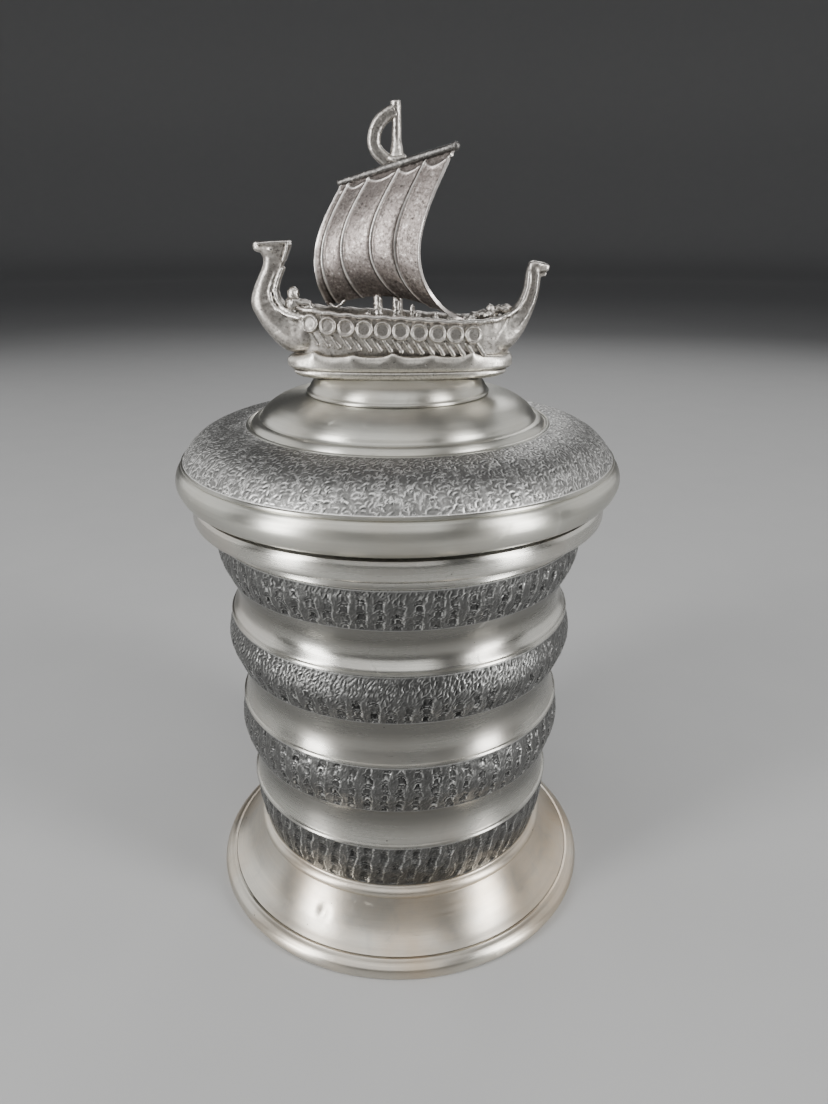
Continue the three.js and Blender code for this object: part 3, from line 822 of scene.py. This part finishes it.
def buildDome():
    top = heightOf("lid_dome", 1)
    outline = [(39.2, 136.0), (39.25, 136.9)]
    outline += smoothLine([(39.0, 137.1), (38.6, 137.15), (38.3, 136.9)], 3)
    outline += smoothLine([(38.1, 136.85), (37.6, 137.6), (36.9, 138.25), (36.0, 138.5)], 4)
    outline += smoothLine([(35.7, 138.45), (35.2, 138.9), (34.6, 140.0), (33.4, 141.2), (31.2, 142.6),
                           (28.4, 143.6),
                           (25.4, 144.15), (23.2, top - 0.35)], 6)
    outline += [(2.4, top - 0.2), (2.4, top - 1.4), (22.8, 142.4)]
    outline += smoothLine([(28.4, 141.9), (32.0, 139.9), (34.8, 137.2), (36.6, 136.2)], 4)
    finishSpun("lidDome", outline, lidPewter, "lid_dome", lidValues["steps"], "lid")


def buildSeat():
    z0, z1 = heightOf("finial_plate", 0), heightOf("finial_plate", 1)
    outline = [(2.4, z0 + 0.3), (23.0, z0 - 0.1)]
    outline += smoothLine([(23.4, z0 + 0.1), (23.35, z0 + 0.55), (22.95, z0 + 0.9)], 4)
    outline += smoothLine([(22.8, z0 + 1.0), (22.2, z0 + 2.2), (21.3, z0 + 3.2), (20.1, z1 - 0.12),
                           (17.5, z1)], 6)
    finishSpun("finialSeat", outline + [(2.4, z1)], lidPewter, "finial_plate", 300, "lid")


def buildCollar():
    z0, top = heightOf("lid_flange", 0), heightOf("lid_shell", 0)
    outline = [(45.7, z0 + 0.2), (46.0, z0), (46.5, z0), (46.9, z0 + 0.8), (46.9, top - 0.3)]
    outline += smoothLine([(46.95, top + 0.0), (49.5, top + 0.02), (53.1, top + 0.05)], 3)
    outline += [(53.25, top + 0.3), (53.1, top + 0.75), (45.9, top + 1.3), (45.6, top + 0.9)]
    finishSpun("lidCollar", outline, insidePewter, "lid_flange", 300, "lid")


def restyle(node, material):
    # keeps a CAD node's own shape and gives it a finish
    for obj in bpy.data.objects:
        if obj.name == node:
            obj.data.materials.clear()
            obj.data.materials.append(material)


buildLidEdge()
buildLidBand()
buildDome()
buildSeat()
buildCollar()
print("lid ready")


# The longship and the block of sea under it.
seaValues = {"halfLength": 28.55, "halfWidth": 9.9, "firstCrest": -20.9, "crest": 9.85, "wave": 1.25}


def seaProfile(z0):
    # (reach, height) with reach 1 at the widest
    lower = smoothLine([(0.84, z0), (0.88, z0 + 0.08), (0.925, z0 + 0.55), (0.95, z0 + 1.15),
                        (0.945, z0 + 1.7)], 4)
    groove = [(0.925, z0 + 1.88), (0.925, z0 + 2.08)]
    upper = smoothLine([(0.97, z0 + 2.2), (0.995, z0 + 2.8), (1.0, z0 + 3.8), (0.998, z0 + 4.8),
                        (0.982, z0 + 5.7),
                        (0.95, z0 + 6.3), (0.91, z0 + 6.4)], 4)
    top = [(0.88, z0 + 5.9), (0.84, z0 + 5.4), (0.7, z0 + 5.2), (0.4, z0 + 5.2), (0, z0 + 5.2)]
    pocket = [(0, z0 + 3.8), (0.055, z0 + 3.8), (0.055, z0 - 0.2)]
    return lower + groove + upper + top + pocket


def buildSea():
    v = seaValues
    z0 = heightOf("finial_plate", 1) - 0.05
    low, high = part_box("sea_plinth")
    middle = (low.x + high.x) / 2 / mm
    bm = turned(seaProfile(z0), 240)
    for vert in bm.verts:
        reach = math.hypot(vert.co.x, vert.co.y) / mm
        if reach < 0.06:
            # the screw's hole stays round
            vert.co.x *= 2.25 / 0.055
            vert.co.y *= 2.25 / 0.055
            continue
        x = vert.co.x / mm * v["halfLength"] + middle
        # blunt ends: the oval is squared off a little
        side = vert.co.y / mm
        y = math.copysign(abs(side) ** 0.8 * v["halfWidth"], side)
        z = vert.co.z / mm
        # crests come in turn tall and low, and the side is scooped out a little under each trough
        turn = (x - v["firstCrest"]) / v["crest"]
        tall = 1.0 if round(turn) % 2 == 0 else 0.5
        cusp = (1 - abs(math.sin(math.pi * turn))) ** 1.5
        rise = min(1, max(0, (z - z0 - 3.0) / 2.6)) * min(1, max(0, (reach - 0.7) * 6))
        z += rise * v["wave"] * (tall * cusp - 0.62)
        scoop = 1 - 0.03 * rise * (1 - cusp)
        vert.co = Vector((x, y * scoop, z)) * mm
    finishCast("seaPlinth", bm, seaPewter, ["sea_plinth"], sharp=60,
                cast=(0.02, 3.0, 3), hollows=(2, 1.2))


hullValues = {"x0": -26.0, "x1": 28.0, "beam": 8.4, "keel": 153.6, "deck": 159.4, "wall": 1.3, "stations": 64}
sheerLine = [(-26.4, 165.3), (-22.0, 164.6), (-16.0, 163.9), (-9.0, 163.3), (1.0, 162.8), (10.0, 162.2),
             (18.0, 161.8), (24.0, 162.2), (28.3, 163.4)]


def gunwaleAt(x):
    return float(np.interp(x, *zip(*sheerLine)))


def beamAt(x):
    v = hullValues
    middle, half = (v["x0"] + v["x1"]) / 2, (v["x1"] - v["x0"]) / 2
    ends = 1 - 0.45 * max(0, (abs(x - middle) - half + 4.0) / 4.0) ** 2
    return v["beam"] * ends * (1 - abs((x - middle) / (half + 6.0)) ** 2.6) ** 0.8


def hullRing(x):
    # closed section: up the near side, over the gunwale, across the deck, and round under the keel
    v = hullValues
    top, beam = gunwaleAt(x) + 0.12 * math.sin(x * 1.45), beamAt(x)
    # the ends run in sharper below
    low = 0.86 - 0.4 * max(0, (abs(x - 1.0) - 19.0) / 8.0) ** 2
    side = []
    for i in range(9):
        t = i / 8
        side.append((beam * (low + (1 - low) * math.sin(t * math.pi / 2)), v["keel"] + (top - v["keel"]) * t))
    rail = [(beam + 0.45, top - 0.25), (beam + 0.5, top + 0.35), (beam + 0.1, top + 0.75),
            (beam - v["wall"] + 0.1, top + 0.7), (beam - v["wall"], top + 0.1)]
    inner = [(max(0.4, beam - v["wall"]), (top + v["deck"]) / 2),
             (max(0.3, beam - v["wall"] - 0.3), v["deck"]),
             (max(0.2, (beam - v["wall"]) * 0.5), v["deck"] + 0.08)]
    half = side + rail + inner
    return [(x, -y, z) for y, z in half] + [(x, y, z) for y, z in reversed(half)]


def postRings(spine):
    # spine entries: x, z, half width along the ship, half width across it, heading of the section
    rings = []
    for x, z, deep, wide, heading in spine:
        out = (math.cos(heading), 0, math.sin(heading))
        rings.append(ovalRing((x, 0, z), wide, deep, out, 24, 0.8))
    return rings


def smoothSpine(spine, count):
    at = range(len(spine))
    tracks = [smoothLine(list(zip(at, column)), count) for column in zip(*spine)]
    return [tuple(track[i][1] for track in tracks) for i in range(len(tracks[0]))]


def addCord(bm, path, r):
    # raised moulding along a path, with round joints
    for a, b in zip(path, path[1:]):
        addRod(bm, a, b, r, r, 10)
    for point in path:
        addBall(bm, point, (r, r, r), detail=2)


def addProw(bm):
    # neck that grows out of the bow, and a flared flat-topped head with a blunt snout
    spine = smoothSpine([
        (-17.6, 158.6, 4.7, 4.3, 1.45),
        (-20.2, 158.8, 5.2, 5.1, 1.35),
        (-22.6, 159.0, 5.4, 5.5, 1.25),
        (-25.3, 159.4, 5.5, 4.9, 1.0),
        (-28.1, 161.2, 4.9, 4.1, 0.7),
        (-30.8, 163.7, 4.2, 3.6, 0.35),
        (-32.5, 166.4, 3.75, 3.1, 0.15),
        (-32.4, 169.4, 3.05, 2.6, 0.0),
        (-31.3, 172.4, 2.6, 2.3, -0.1),
        (-30.2, 175.0, 2.55, 2.2, -0.05),
        (-29.7, 177.0, 3.1, 2.4, 0.0),
        (-29.8, 178.6, 4.0, 2.7, 0.0),
        (-29.9, 179.9, 4.5, 2.75, 0.0),
    ], 5)
    joinInto(bm, loft(postRings(spine)))
    snout = [(-30.4, 179.1, 1.35, 2.3), (-32.6, 179.1, 1.3, 2.0), (-34.0, 179.1, 1.15, 1.65),
             (-34.8, 179.2, 0.8, 1.2)]
    joinInto(bm, loft([ovalRing((x, 0, z), wide, tall, count=24, square=0.6) for x, z, tall, wide in snout]))
    for side in (-1, 1):
        addBall(bm, (-33.9, side * 1.2, 179.9), (0.75, 0.5, 0.5), detail=2)
        # raised edges of the head round a hollow cheek, and the eye in it
        cheek = [(-33.4, 179.9), (-30.0, 180.15), (-26.2, 180.3), (-26.6, 178.4), (-27.6, 176.0)]
        addCord(bm, [(x, side * 2.55, z) for x, z in cheek], 0.42)
        addBall(bm, (-30.3, side * 2.5, 178.6), (0.8, 0.5, 0.6), detail=3)
        # double moulding down the back edge of the neck and on to the gunwale
        for shift, r in ((0.0, 0.5), (-1.3, 0.36)):
            ridge = [(-28.0, 174.2, 1.7), (-29.2, 171.6, 2.0), (-29.9, 169.2, 2.3), (-29.6, 167.2, 2.6),
                     (-28.2, 165.2, 3.1), (-25.8, 163.9, 4.4), (-22.5, 163.2, 5.9)]
            addCord(bm, [(x + shift, side * (y + 0.25), z + 0.3 * shift) for x, z, y in ridge], r)


def addStern(bm):
    # post that sweeps up from the stern, channelled between two raised edges, with a small turned head
    spine = smoothSpine([
        (23.6, 158.6, 4.9, 5.2, 1.8),
        (26.4, 159.2, 4.6, 4.4, 2.1),
        (29.0, 161.0, 3.4, 3.4, 2.4),
        (31.2, 163.9, 2.5, 2.6, 2.65),
        (32.6, 166.9, 2.1, 2.2, 2.9),
        (33.3, 169.8, 1.95, 2.0, 3.05),
        (33.5, 172.6, 1.85, 1.9, 3.14),
        (33.4, 174.6, 1.4, 1.9, 3.14),
    ], 5)
    joinInto(bm, loft(postRings(spine)))
    head = [(32.4, 174.7, 0.9, 1.6), (33.6, 174.8, 1.2, 1.85), (35.4, 174.5, 1.15, 1.55),
            (36.8, 174.3, 0.95, 1.25),
            (37.4, 174.4, 0.6, 0.9)]
    joinInto(bm, loft([ovalRing((x, 0, z), wide, tall, count=24, square=0.6) for x, z, tall, wide in head]))
    addRod(bm, (34.4, 0, 172.9), (36.8, 0, 172.7), 0.7, 0.5)
    for side in (-1, 1):
        addBall(bm, (34.6, side * 1.5, 175.2), (0.55, 0.45, 0.45), detail=2)
        outer = [(34.4, 173.0, 1.7), (34.3, 169.6, 1.8), (33.5, 166.2, 2.0), (32.0, 163.0, 2.4),
                 (29.6, 159.8, 3.0)]
        inner = [(32.4, 173.2, 1.7), (32.2, 169.8, 1.8), (31.3, 167.0, 2.0), (29.8, 164.8, 2.6),
                 (27.2, 163.2, 4.0)]
        for path in (outer, inner):
            addCord(bm, [(x, side * y, z) for x, z, y in path], 0.42)


def buildHull():
    # hull, prow and stern are one casting
    v = hullValues
    stations = [v["x0"] + (v["x1"] - v["x0"]) * i / v["stations"] for i in range(v["stations"] + 1)]
    bm = loft([hullRing(x) for x in stations])
    addProw(bm)
    addStern(bm)
    bm = fuse(bm, 0.24, 3)
    finishCast("longshipHull", bm, castPewter,
                stands=["ship_hull", "prow_dragon", "stern_post"], sharp=70, cast=(0.02, 2.6, 5),
                hollows=(4, 2.2))


shieldValues = {"count": 10, "first": -21.2, "pitch": 4.4, "r": 2.3, "drop": 2.75, "lean": 0.12}


def shieldOutline():
    # flat disc inside a broad raised rim
    r = shieldValues["r"]
    rim = smoothLine([(r * 0.58, 0.66), (r * 0.67, 0.74), (r * 0.8, 1.0), (r * 0.92, 0.88), (r, 0.3)], 5)
    return [(0, 0.7), (r * 0.42, 0.68)] + rim + [(r * 0.98, -0.1), (r * 0.9, -0.6), (0, -0.6)]


def buildShields():
    v = shieldValues
    tilt = random.normal(0, 0.05, (2, v["count"]))
    for row, side in enumerate((-1, 1)):
        bm = bmesh.new()
        for i in range(v["count"]):
            x = v["first"] + v["pitch"] * i
            heading = math.atan((beamAt(x + 1) - beamAt(x - 1)) / 2)
            one = turned(shieldOutline(), 36)
            upright = Matrix.Rotation(-side * (math.pi / 2 - v["lean"]), 3, "X")
            turn = Matrix.Rotation(side * heading + tilt[row, i], 3, "Z") @ upright
            bmesh.ops.rotate(one, verts=one.verts, cent=(0, 0, 0), matrix=turn)
            place = Vector((x, side * (beamAt(x) + 0.35), gunwaleAt(x) - v["drop"]))
            bmesh.ops.translate(one, verts=one.verts, vec=place * mm)
            joinInto(bm, one)
        name = "shieldsNear" if side < 0 else "shieldsFar"
        finishCast(name, bm, castPewter, sharp=55, cast=(0.02, 1.4, 21 + row),
                    hollows=(1, 0.9))


oarValues = {"count": 17, "first": -21.4, "pitch": 2.55, "run": 1.9, "fall": 2.8, "r": 0.55}


def buildOars():
    v = oarValues
    for row, side in enumerate((-1, 1)):
        bm = bmesh.new()
        for i in range(v["count"]):
            x = v["first"] + v["pitch"] * i
            top = Vector((x, side * (beamAt(x) - 0.4), gunwaleAt(x) - 4.9))
            foot = Vector((x + v["run"], side * (beamAt(x) - 0.4), top.z - v["fall"]))
            addRod(bm, top, foot, v["r"], v["r"] * 1.25, 10)
            addBall(bm, foot, (v["r"] * 1.35,) * 3, detail=2)
            addBall(bm, top, (v["r"],) * 3, detail=2)
        bm = fuse(bm, 0.17, 2)
        name = "oarsNear" if side < 0 else "oarsFar"
        finishCast(name, bm, castPewter, cast=(0.02, 1.0, 41 + row), hollows=(2, 1.2))


sailValues = {
    "topLeft": (-13.2, 7.0, 193.6), "topRight": (12.9, -6.9, 200.1),
    "lowLeft": (-17.6, 5.6, 165.0), "lowRight": (16.2, -6.7, 162.3),
    "bellyLeft": (-4.6, -3.2), "bellyRight": (-9.8, -3.6),
    "lift": 3.9, "thick": 0.75, "across": 150, "up": 140,
    "seams": (0.075, 0.27, 0.55, 0.78), "seamWidth": 0.0085,
}


def panelAt(u):
    # 0 to 1 across the panel between two seams
    edges = (0, *sailValues["seams"], 1)
    left = max(edge for edge in edges if edge <= min(u, 0.9999) + 1e-9)
    right = min(edge for edge in edges if edge > left + 1e-9)
    return min(1, (u - left) / (right - left))


def sailPoint(u, w):
    # u runs along the yard and w up the sail
    v = sailValues
    low = Vector(v["lowLeft"]).lerp(Vector(v["lowRight"]), u)
    low.z += v["lift"] * math.sin(math.pi * u)
    high = Vector(v["topLeft"]).lerp(Vector(v["topRight"]), u)
    bulge = Vector(v["bellyLeft"]).lerp(Vector(v["bellyRight"]),
                                        u) * math.sin(math.pi * w ** (0.85 - 0.15 * u))
    # each panel bellies a little between its seams
    panel = 0.14 * math.sin(math.pi * panelAt(u)) * math.sin(math.pi * min(1, w * 1.02))
    return low.lerp(high, w) + Vector((bulge.x, bulge.y, 0)) + Vector((-0.35, -0.94, 0)) * panel


def buildSail():
    v = sailValues
    bm = bmesh.new()
    bmesh.ops.create_grid(bm, x_segments=v["across"], y_segments=v["up"], size=0.5)
    proud = {}
    tone = bm.verts.layers.float.new("patinaAndPaintedLight")
    for vert in bm.verts:
        u, w = vert.co.x + 0.5, vert.co.y + 0.5
        seam = max(math.exp(-((u - s) / v["seamWidth"]) ** 2) for s in v["seams"])
        beside = max(math.exp(-((abs(u - s) - 0.024) / 0.01) ** 2) for s in v["seams"])
        # painted shadow: a dark line along one side of each raised seam
        paintedSeamShadow = max(math.exp(-((s - u - 0.02) / 0.009) ** 2) for s in v["seams"])
        hem = max(math.exp(-(min(u, 1 - u) / 0.016) ** 2), 0.6 * math.exp(-(w / 0.014) ** 2))
        # the rope that lashes the sail hangs in a loop across the head of each panel
        hang = 0.035 + 0.045 * math.sin(math.pi * panelAt(u))
        rope = math.exp(-((1 - w - hang) / 0.008) ** 2)
        above = smoothStep(hang, hang - 0.02, 1 - w)
        proud[vert.index] = 0.26 * seam - 0.07 * beside + 0.22 * hem + 0.16 * rope - 0.08 * float(above)
        low = math.exp(-(w / 0.09) ** 2)
        # painted shade: the right-hand side of the sail is darkened, standing in for the light falling off
        # across the curved sheet
        paintedRightShade = 0.09 * float(smoothStep(0.35, 1.0, u))
        # painted highlight along the raised seams, the hem and the rope
        paintedSeamHighlight = 0.4 * max(seam, 0.7 * hem, 0.7 * rope)
        vert[tone] = 0.5 - paintedSeamHighlight + 0.3 * paintedSeamShadow + 0.12 * float(above) + 0.1 * low + paintedRightShade
        vert.co = sailPoint(u, w) * mm
    bm.normal_update()
    facing = Vector((-0.35, -0.94, 0))
    for vert in bm.verts:
        normal = vert.normal if vert.normal.dot(facing) > 0 else -vert.normal
        vert.co += normal * proud[vert.index] * mm
    bmesh.ops.recalc_face_normals(bm, faces=bm.faces)
    if sum((f.normal.dot(facing) for f in bm.faces)) < 0:
        bmesh.ops.reverse_faces(bm, faces=bm.faces)
    bmesh.ops.solidify(bm, geom=bm.faces, thickness=v["thick"] * mm)
    bmesh.ops.recalc_face_normals(bm, faces=bm.faces)
    finishCast("sailCloth", bm, sailPewter, ["sail"], sharp=60, cast=(0.018, 2.4, 71))


def buildRig():
    yardLeft, yardRight = Vector((-14.0, 7.4, 193.6)), Vector((13.8, -7.4, 200.8))
    middle = (yardLeft + yardRight) / 2
    bm = bmesh.new()
    addRod(bm, middle, yardLeft, 1.0, 0.75)
    addRod(bm, middle, yardRight, 1.0, 0.8)
    addBall(bm, yardRight - (yardRight - middle).normalized() * 0.4, (1.0, 1.0, 1.0))
    addBall(bm, yardLeft - (yardLeft - middle).normalized() * 0.2, (0.8, 0.8, 0.8))
    bm = fuse(bm, 0.17, 2)
    finishCast("yardSpar", bm, sparPewter, ["yard"], cast=(0.03, 1.6, 81),
                hollows=(2, 1.2))

    low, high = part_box("mast")
    x, y, top, foot = (low.x + high.x) / 2 / mm, (low.y + high.y) / 2 / mm, high.z / mm, low.z / mm
    bm = bmesh.new()
    addRod(bm, (x, y, foot), (x, y, foot + 2.2), 2.1, 1.6, 20)
    addRod(bm, (x, y, foot + 1.8), (x, y, top - 1.2), 1.25, 1.1, 20)
    addRod(bm, (x - 0.1, y, top - 2.4), (x - 0.2, y, top - 0.1), 1.15, 1.2, 20)
    addBall(bm, (x - 0.2, y, top - 0.9), (1.25, 1.25, 0.85))
    # the mast thickens where it passes the yard, and a hoop ties the two
    addRod(bm, (x, y - 0.6, 196.6), (x, y, 202.4), 2.3, 1.2, 20)
    addCord(bm, [(x - 1.6, y - 2.6, 198.6), (x, y - 3.1, 198.2), (x + 1.6, y - 2.8, 198.8)], 0.75)
    bm = fuse(bm, 0.17, 2)
    finishCast("mastPole", bm, castPewter, ["mast"], cast=(0.025, 1.6, 83),
                hollows=(2, 1.2))

    # bowed pennant that leaves the masthead and comes back above the yard
    path = smoothLine([(-0.3, 208.8), (-2.6, 207.7), (-4.5, 205.7), (-5.35, 202.9), (-4.9, 200.6),
                       (-3.0, 198.7), (-0.4, 197.4)], 6)
    rings = []
    for i, (px, pz) in enumerate(path):
        nextX, nextZ = path[min(i + 1, len(path) - 1)]
        lastX, lastZ = path[max(i - 1, 0)]
        out = Vector((nextZ - lastZ, 0, lastX - nextX))
        rings.append(ovalRing((px + x, y, pz), 1.5, 1.6, out, 16, 0.7))
    bm = fuse(loft(rings), 0.16, 2)
    finishCast("mastheadPennant", bm, castPewter, ["masthead_vane"],
                cast=(0.025, 1.6, 87), hollows=(2, 1.2))


def seatedFigure(bm, x, y, z, size, facing):
    # small round-shouldered rower with a plain round head
    f = facing
    addBall(bm, (x, y, z + 1.5 * size), (1.5 * size, 1.6 * size, 1.8 * size))
    addBall(bm, (x + 0.1 * f, y, z + 3.0 * size), (1.4 * size, 1.75 * size, 1.35 * size))
    addBall(bm, (x + 0.2 * f, y, z + 4.6 * size), (1.0 * size, 0.95 * size, 1.2 * size))
    for side in (-1, 1):
        knee = (x + 2.7 * f * size, y + side * 0.8 * size, z + 2.6 * size)
        addRod(bm, (x + 0.4 * f * size, y + side * 0.8 * size, z + 1.0 * size), knee, 0.75 * size, 0.6 * size)
        addBall(bm, knee, (0.66 * size,) * 3, detail=2)
        addRod(bm, knee, (x + 3.7 * f * size, y + side * 0.8 * size, z + 0.3 * size), 0.6 * size, 0.5 * size)
        hand = (x + 2.9 * f * size, y + side * 0.9 * size, z + 3.1 * size)
        addRod(bm, (x, y + side * 1.3 * size, z + 3.6 * size), hand, 0.5 * size, 0.4 * size)


def buildCrew():
    deck = hullValues["deck"]
    people = {
        "bow_lookout": ("bowLookout", (-25.7, -2.0, deck + 2.0, 1.5, 1)),
        "deck_hand": ("deckHand", (-7.6, 1.2, deck, 0.8, 1)),
        "rower_aft": ("rowerAft", (5.2, -2.6, deck, 0.8, -1)),
        "steersman": ("helmFigure", (23.4, -0.6, deck, 1.1, -1)),
    }
    for i, (node, (name, place)) in enumerate(people.items()):
        bm = bmesh.new()
        seatedFigure(bm, *place)
        bm = fuse(bm, 0.17, 2)
        finishCast(name, bm, castPewter, [node], cast=(0.05, 1.1, 91 + i),
                    hollows=(3, 1.6))


def buildFittings():
    deck = hullValues["deck"] - 0.2
    bm = bmesh.new()
    # posts that carry the lowered yard, near and far of the mast
    for x, top, r in ((-4.75, 168.4, 1.35), (-0.25, 167.6, 1.2), (3.7, 165.9, 0.75), (9.6, 164.2, 0.6)):
        addRod(bm, (x, -2.8, deck), (x, -2.8, top - 0.6), r, r * 0.75)
        addBall(bm, (x, -2.8, top - 0.8), (r * 0.75, r * 0.75, 0.8), detail=2)
        addBall(bm, (x, -2.8, deck + 2.6), (r * 1.4, r * 1.3, 1.8), detail=2)
    # thwarts, and gear stowed aft and along the sides
    for x in (-15.0, -10.0, 8.0, 13.0, 18.0):
        half = beamAt(x) - 1.2
        addRod(bm, (x, -half, 161.2), (x, half, 161.2), 0.6, sides=10)
    for x in np.arange(6.0, 28.0, 1.5):
        y = random.uniform(-3.0, 1.5) - 1.2
        height = np.interp(x, (6, 14, 20, 25, 28), (162.4, 162.2, 163.4, 165.2,
                                                    164.4)) + random.uniform(-0.5, 0.7)
        size = random.uniform(0.9, 1.5)
        addBall(bm, (x, y, height - 0.8), (size * 1.3, size * 1.2, size), (0, random.uniform(-0.6, 0.6), 0),
                2)
    # sheet that ties the sail's lower corner to the gunwale
    addCord(bm, [(-17.0, 4.4, 165.5), (-16.0, 3.8, 164.7), (-14.8, 3.4, 164.9), (-13.2, 3.2, 166.3)], 0.36)
    bm = fuse(bm, 0.17, 1)
    finishCast("deckFittings", bm, castPewter, cast=(0.07, 1.0, 97), hollows=(3, 1.8))


buildSea()
buildHull()
buildShields()
buildOars()
buildSail()
buildRig()
buildCrew()
buildFittings()
restyle("finial_screw", screwSteel)
restyle("finial_washer", screwSteel)
print("longship ready")


# Floor, light and camera.
def buildStage():
    # round floor that sweeps up into a low wall, so that no edge shows from any side
    sweep = [(0, 0), (2.2, 0)] + smoothLine([(2.6, 0.0), (3.1, 0.1), (3.5, 0.5), (3.6, 1.0)],
                                            8) + [(3.6, 1.8)]
    bm = bmesh.new()
    verts = [bm.verts.new((r, 0, z)) for r, z in sweep]
    edges = [bm.edges.new(pair) for pair in zip(verts, verts[1:])]
    bmesh.ops.spin(bm, geom=verts + edges, cent=(0, 0, 0), axis=(0, 0, 1), dvec=(0, 0, 0), angle=fullTurn,
                   steps=96, use_merge=True, use_duplicate=False)
    bmesh.ops.remove_doubles(bm, verts=bm.verts, dist=1e-5)
    bmesh.ops.recalc_face_normals(bm, faces=bm.faces)
    mesh = bpy.data.meshes.new("floor")
    bm.to_mesh(mesh)
    bm.free()
    mesh.shade_smooth()
    floor = bpy.data.objects.new("floor", mesh)
    bpy.context.scene.collection.objects.link(floor)
    material, wires, shader = newMaterial("floorPaint")
    grain = wires.noise(objectPoint(wires), 30.0, 4.0)
    wires.feed(shader.inputs["Base Color"], wires.mix(grain, rgba((0.40, 0.40, 0.40)),
                                                      rgba((0.43, 0.43, 0.425))))
    shader.inputs["Roughness"].default_value = 0.75
    mesh.materials.append(material)

    world = bpy.data.worlds.new("studio")
    world.use_nodes = True
    world.node_tree.nodes["Background"].inputs["Color"].default_value = (0.30, 0.31, 0.34, 1)
    world.node_tree.nodes["Background"].inputs["Strength"].default_value = 0.16
    bpy.context.scene.world = world


# Softboxes: azimuth round the stein from the camera's side, distance and height in metres, the height
# that each one faces, its size and power.
softboxes = {
    "leftBox": (-57, 0.80, 0.40, 0.30, (0.20, 0.80), 8.5),
    "rightBox": (59, 0.80, 0.40, 0.30, (0.20, 0.80), 8.0),
    "leftWall": (-112, 1.00, 0.50, 0.2, (1.0, 0.9), 3.6),
    "rightWall": (114, 1.00, 0.50, 0.2, (1.0, 0.9), 2.8),
    "topBox": (-18, 0.38, 1.15, 0.12, (1.2, 0.9), 4.2),
    "frontBox": (-8, 0.75, 0.78, 0.05, (1.0, 0.5), 2.0),
    "backBox": (170, 1.00, 0.70, 0.2, (0.5, 0.5), 2.5),
}


def buildLights():
    for name, (azimuth, distance, height, faces, size, watts) in softboxes.items():
        light = bpy.data.lights.new(name, "AREA")
        light.shape = "RECTANGLE"
        light.size, light.size_y = size
        light.energy = watts
        lamp = bpy.data.objects.new(name, light)
        turn = math.radians(azimuth)
        lamp.location = (distance * math.sin(turn), -distance * math.cos(turn), height)
        aim = Vector((0, 0, faces)) - lamp.location
        lamp.rotation_euler = aim.to_track_quat("-Z", "Y").to_euler()
        bpy.context.scene.collection.objects.link(lamp)


cameraValues = {"place": (0, -0.21535, 0.1848), "pitch": 21.68, "yaw": 1.1, "lens": 27.1, "sensor": 36.0}


def buildCamera():
    v = cameraValues
    camera = bpy.data.cameras.new("camera")
    camera.lens = v["lens"]
    camera.sensor_width = v["sensor"]
    camera.clip_start = 0.01
    obj = bpy.data.objects.new("camera", camera)
    obj.location = v["place"]
    obj.rotation_euler = (math.radians(90 - v["pitch"]), 0, -math.radians(v["yaw"]))
    bpy.context.scene.collection.objects.link(obj)
    bpy.context.scene.camera = obj


buildStage()
buildLights()
buildCamera()
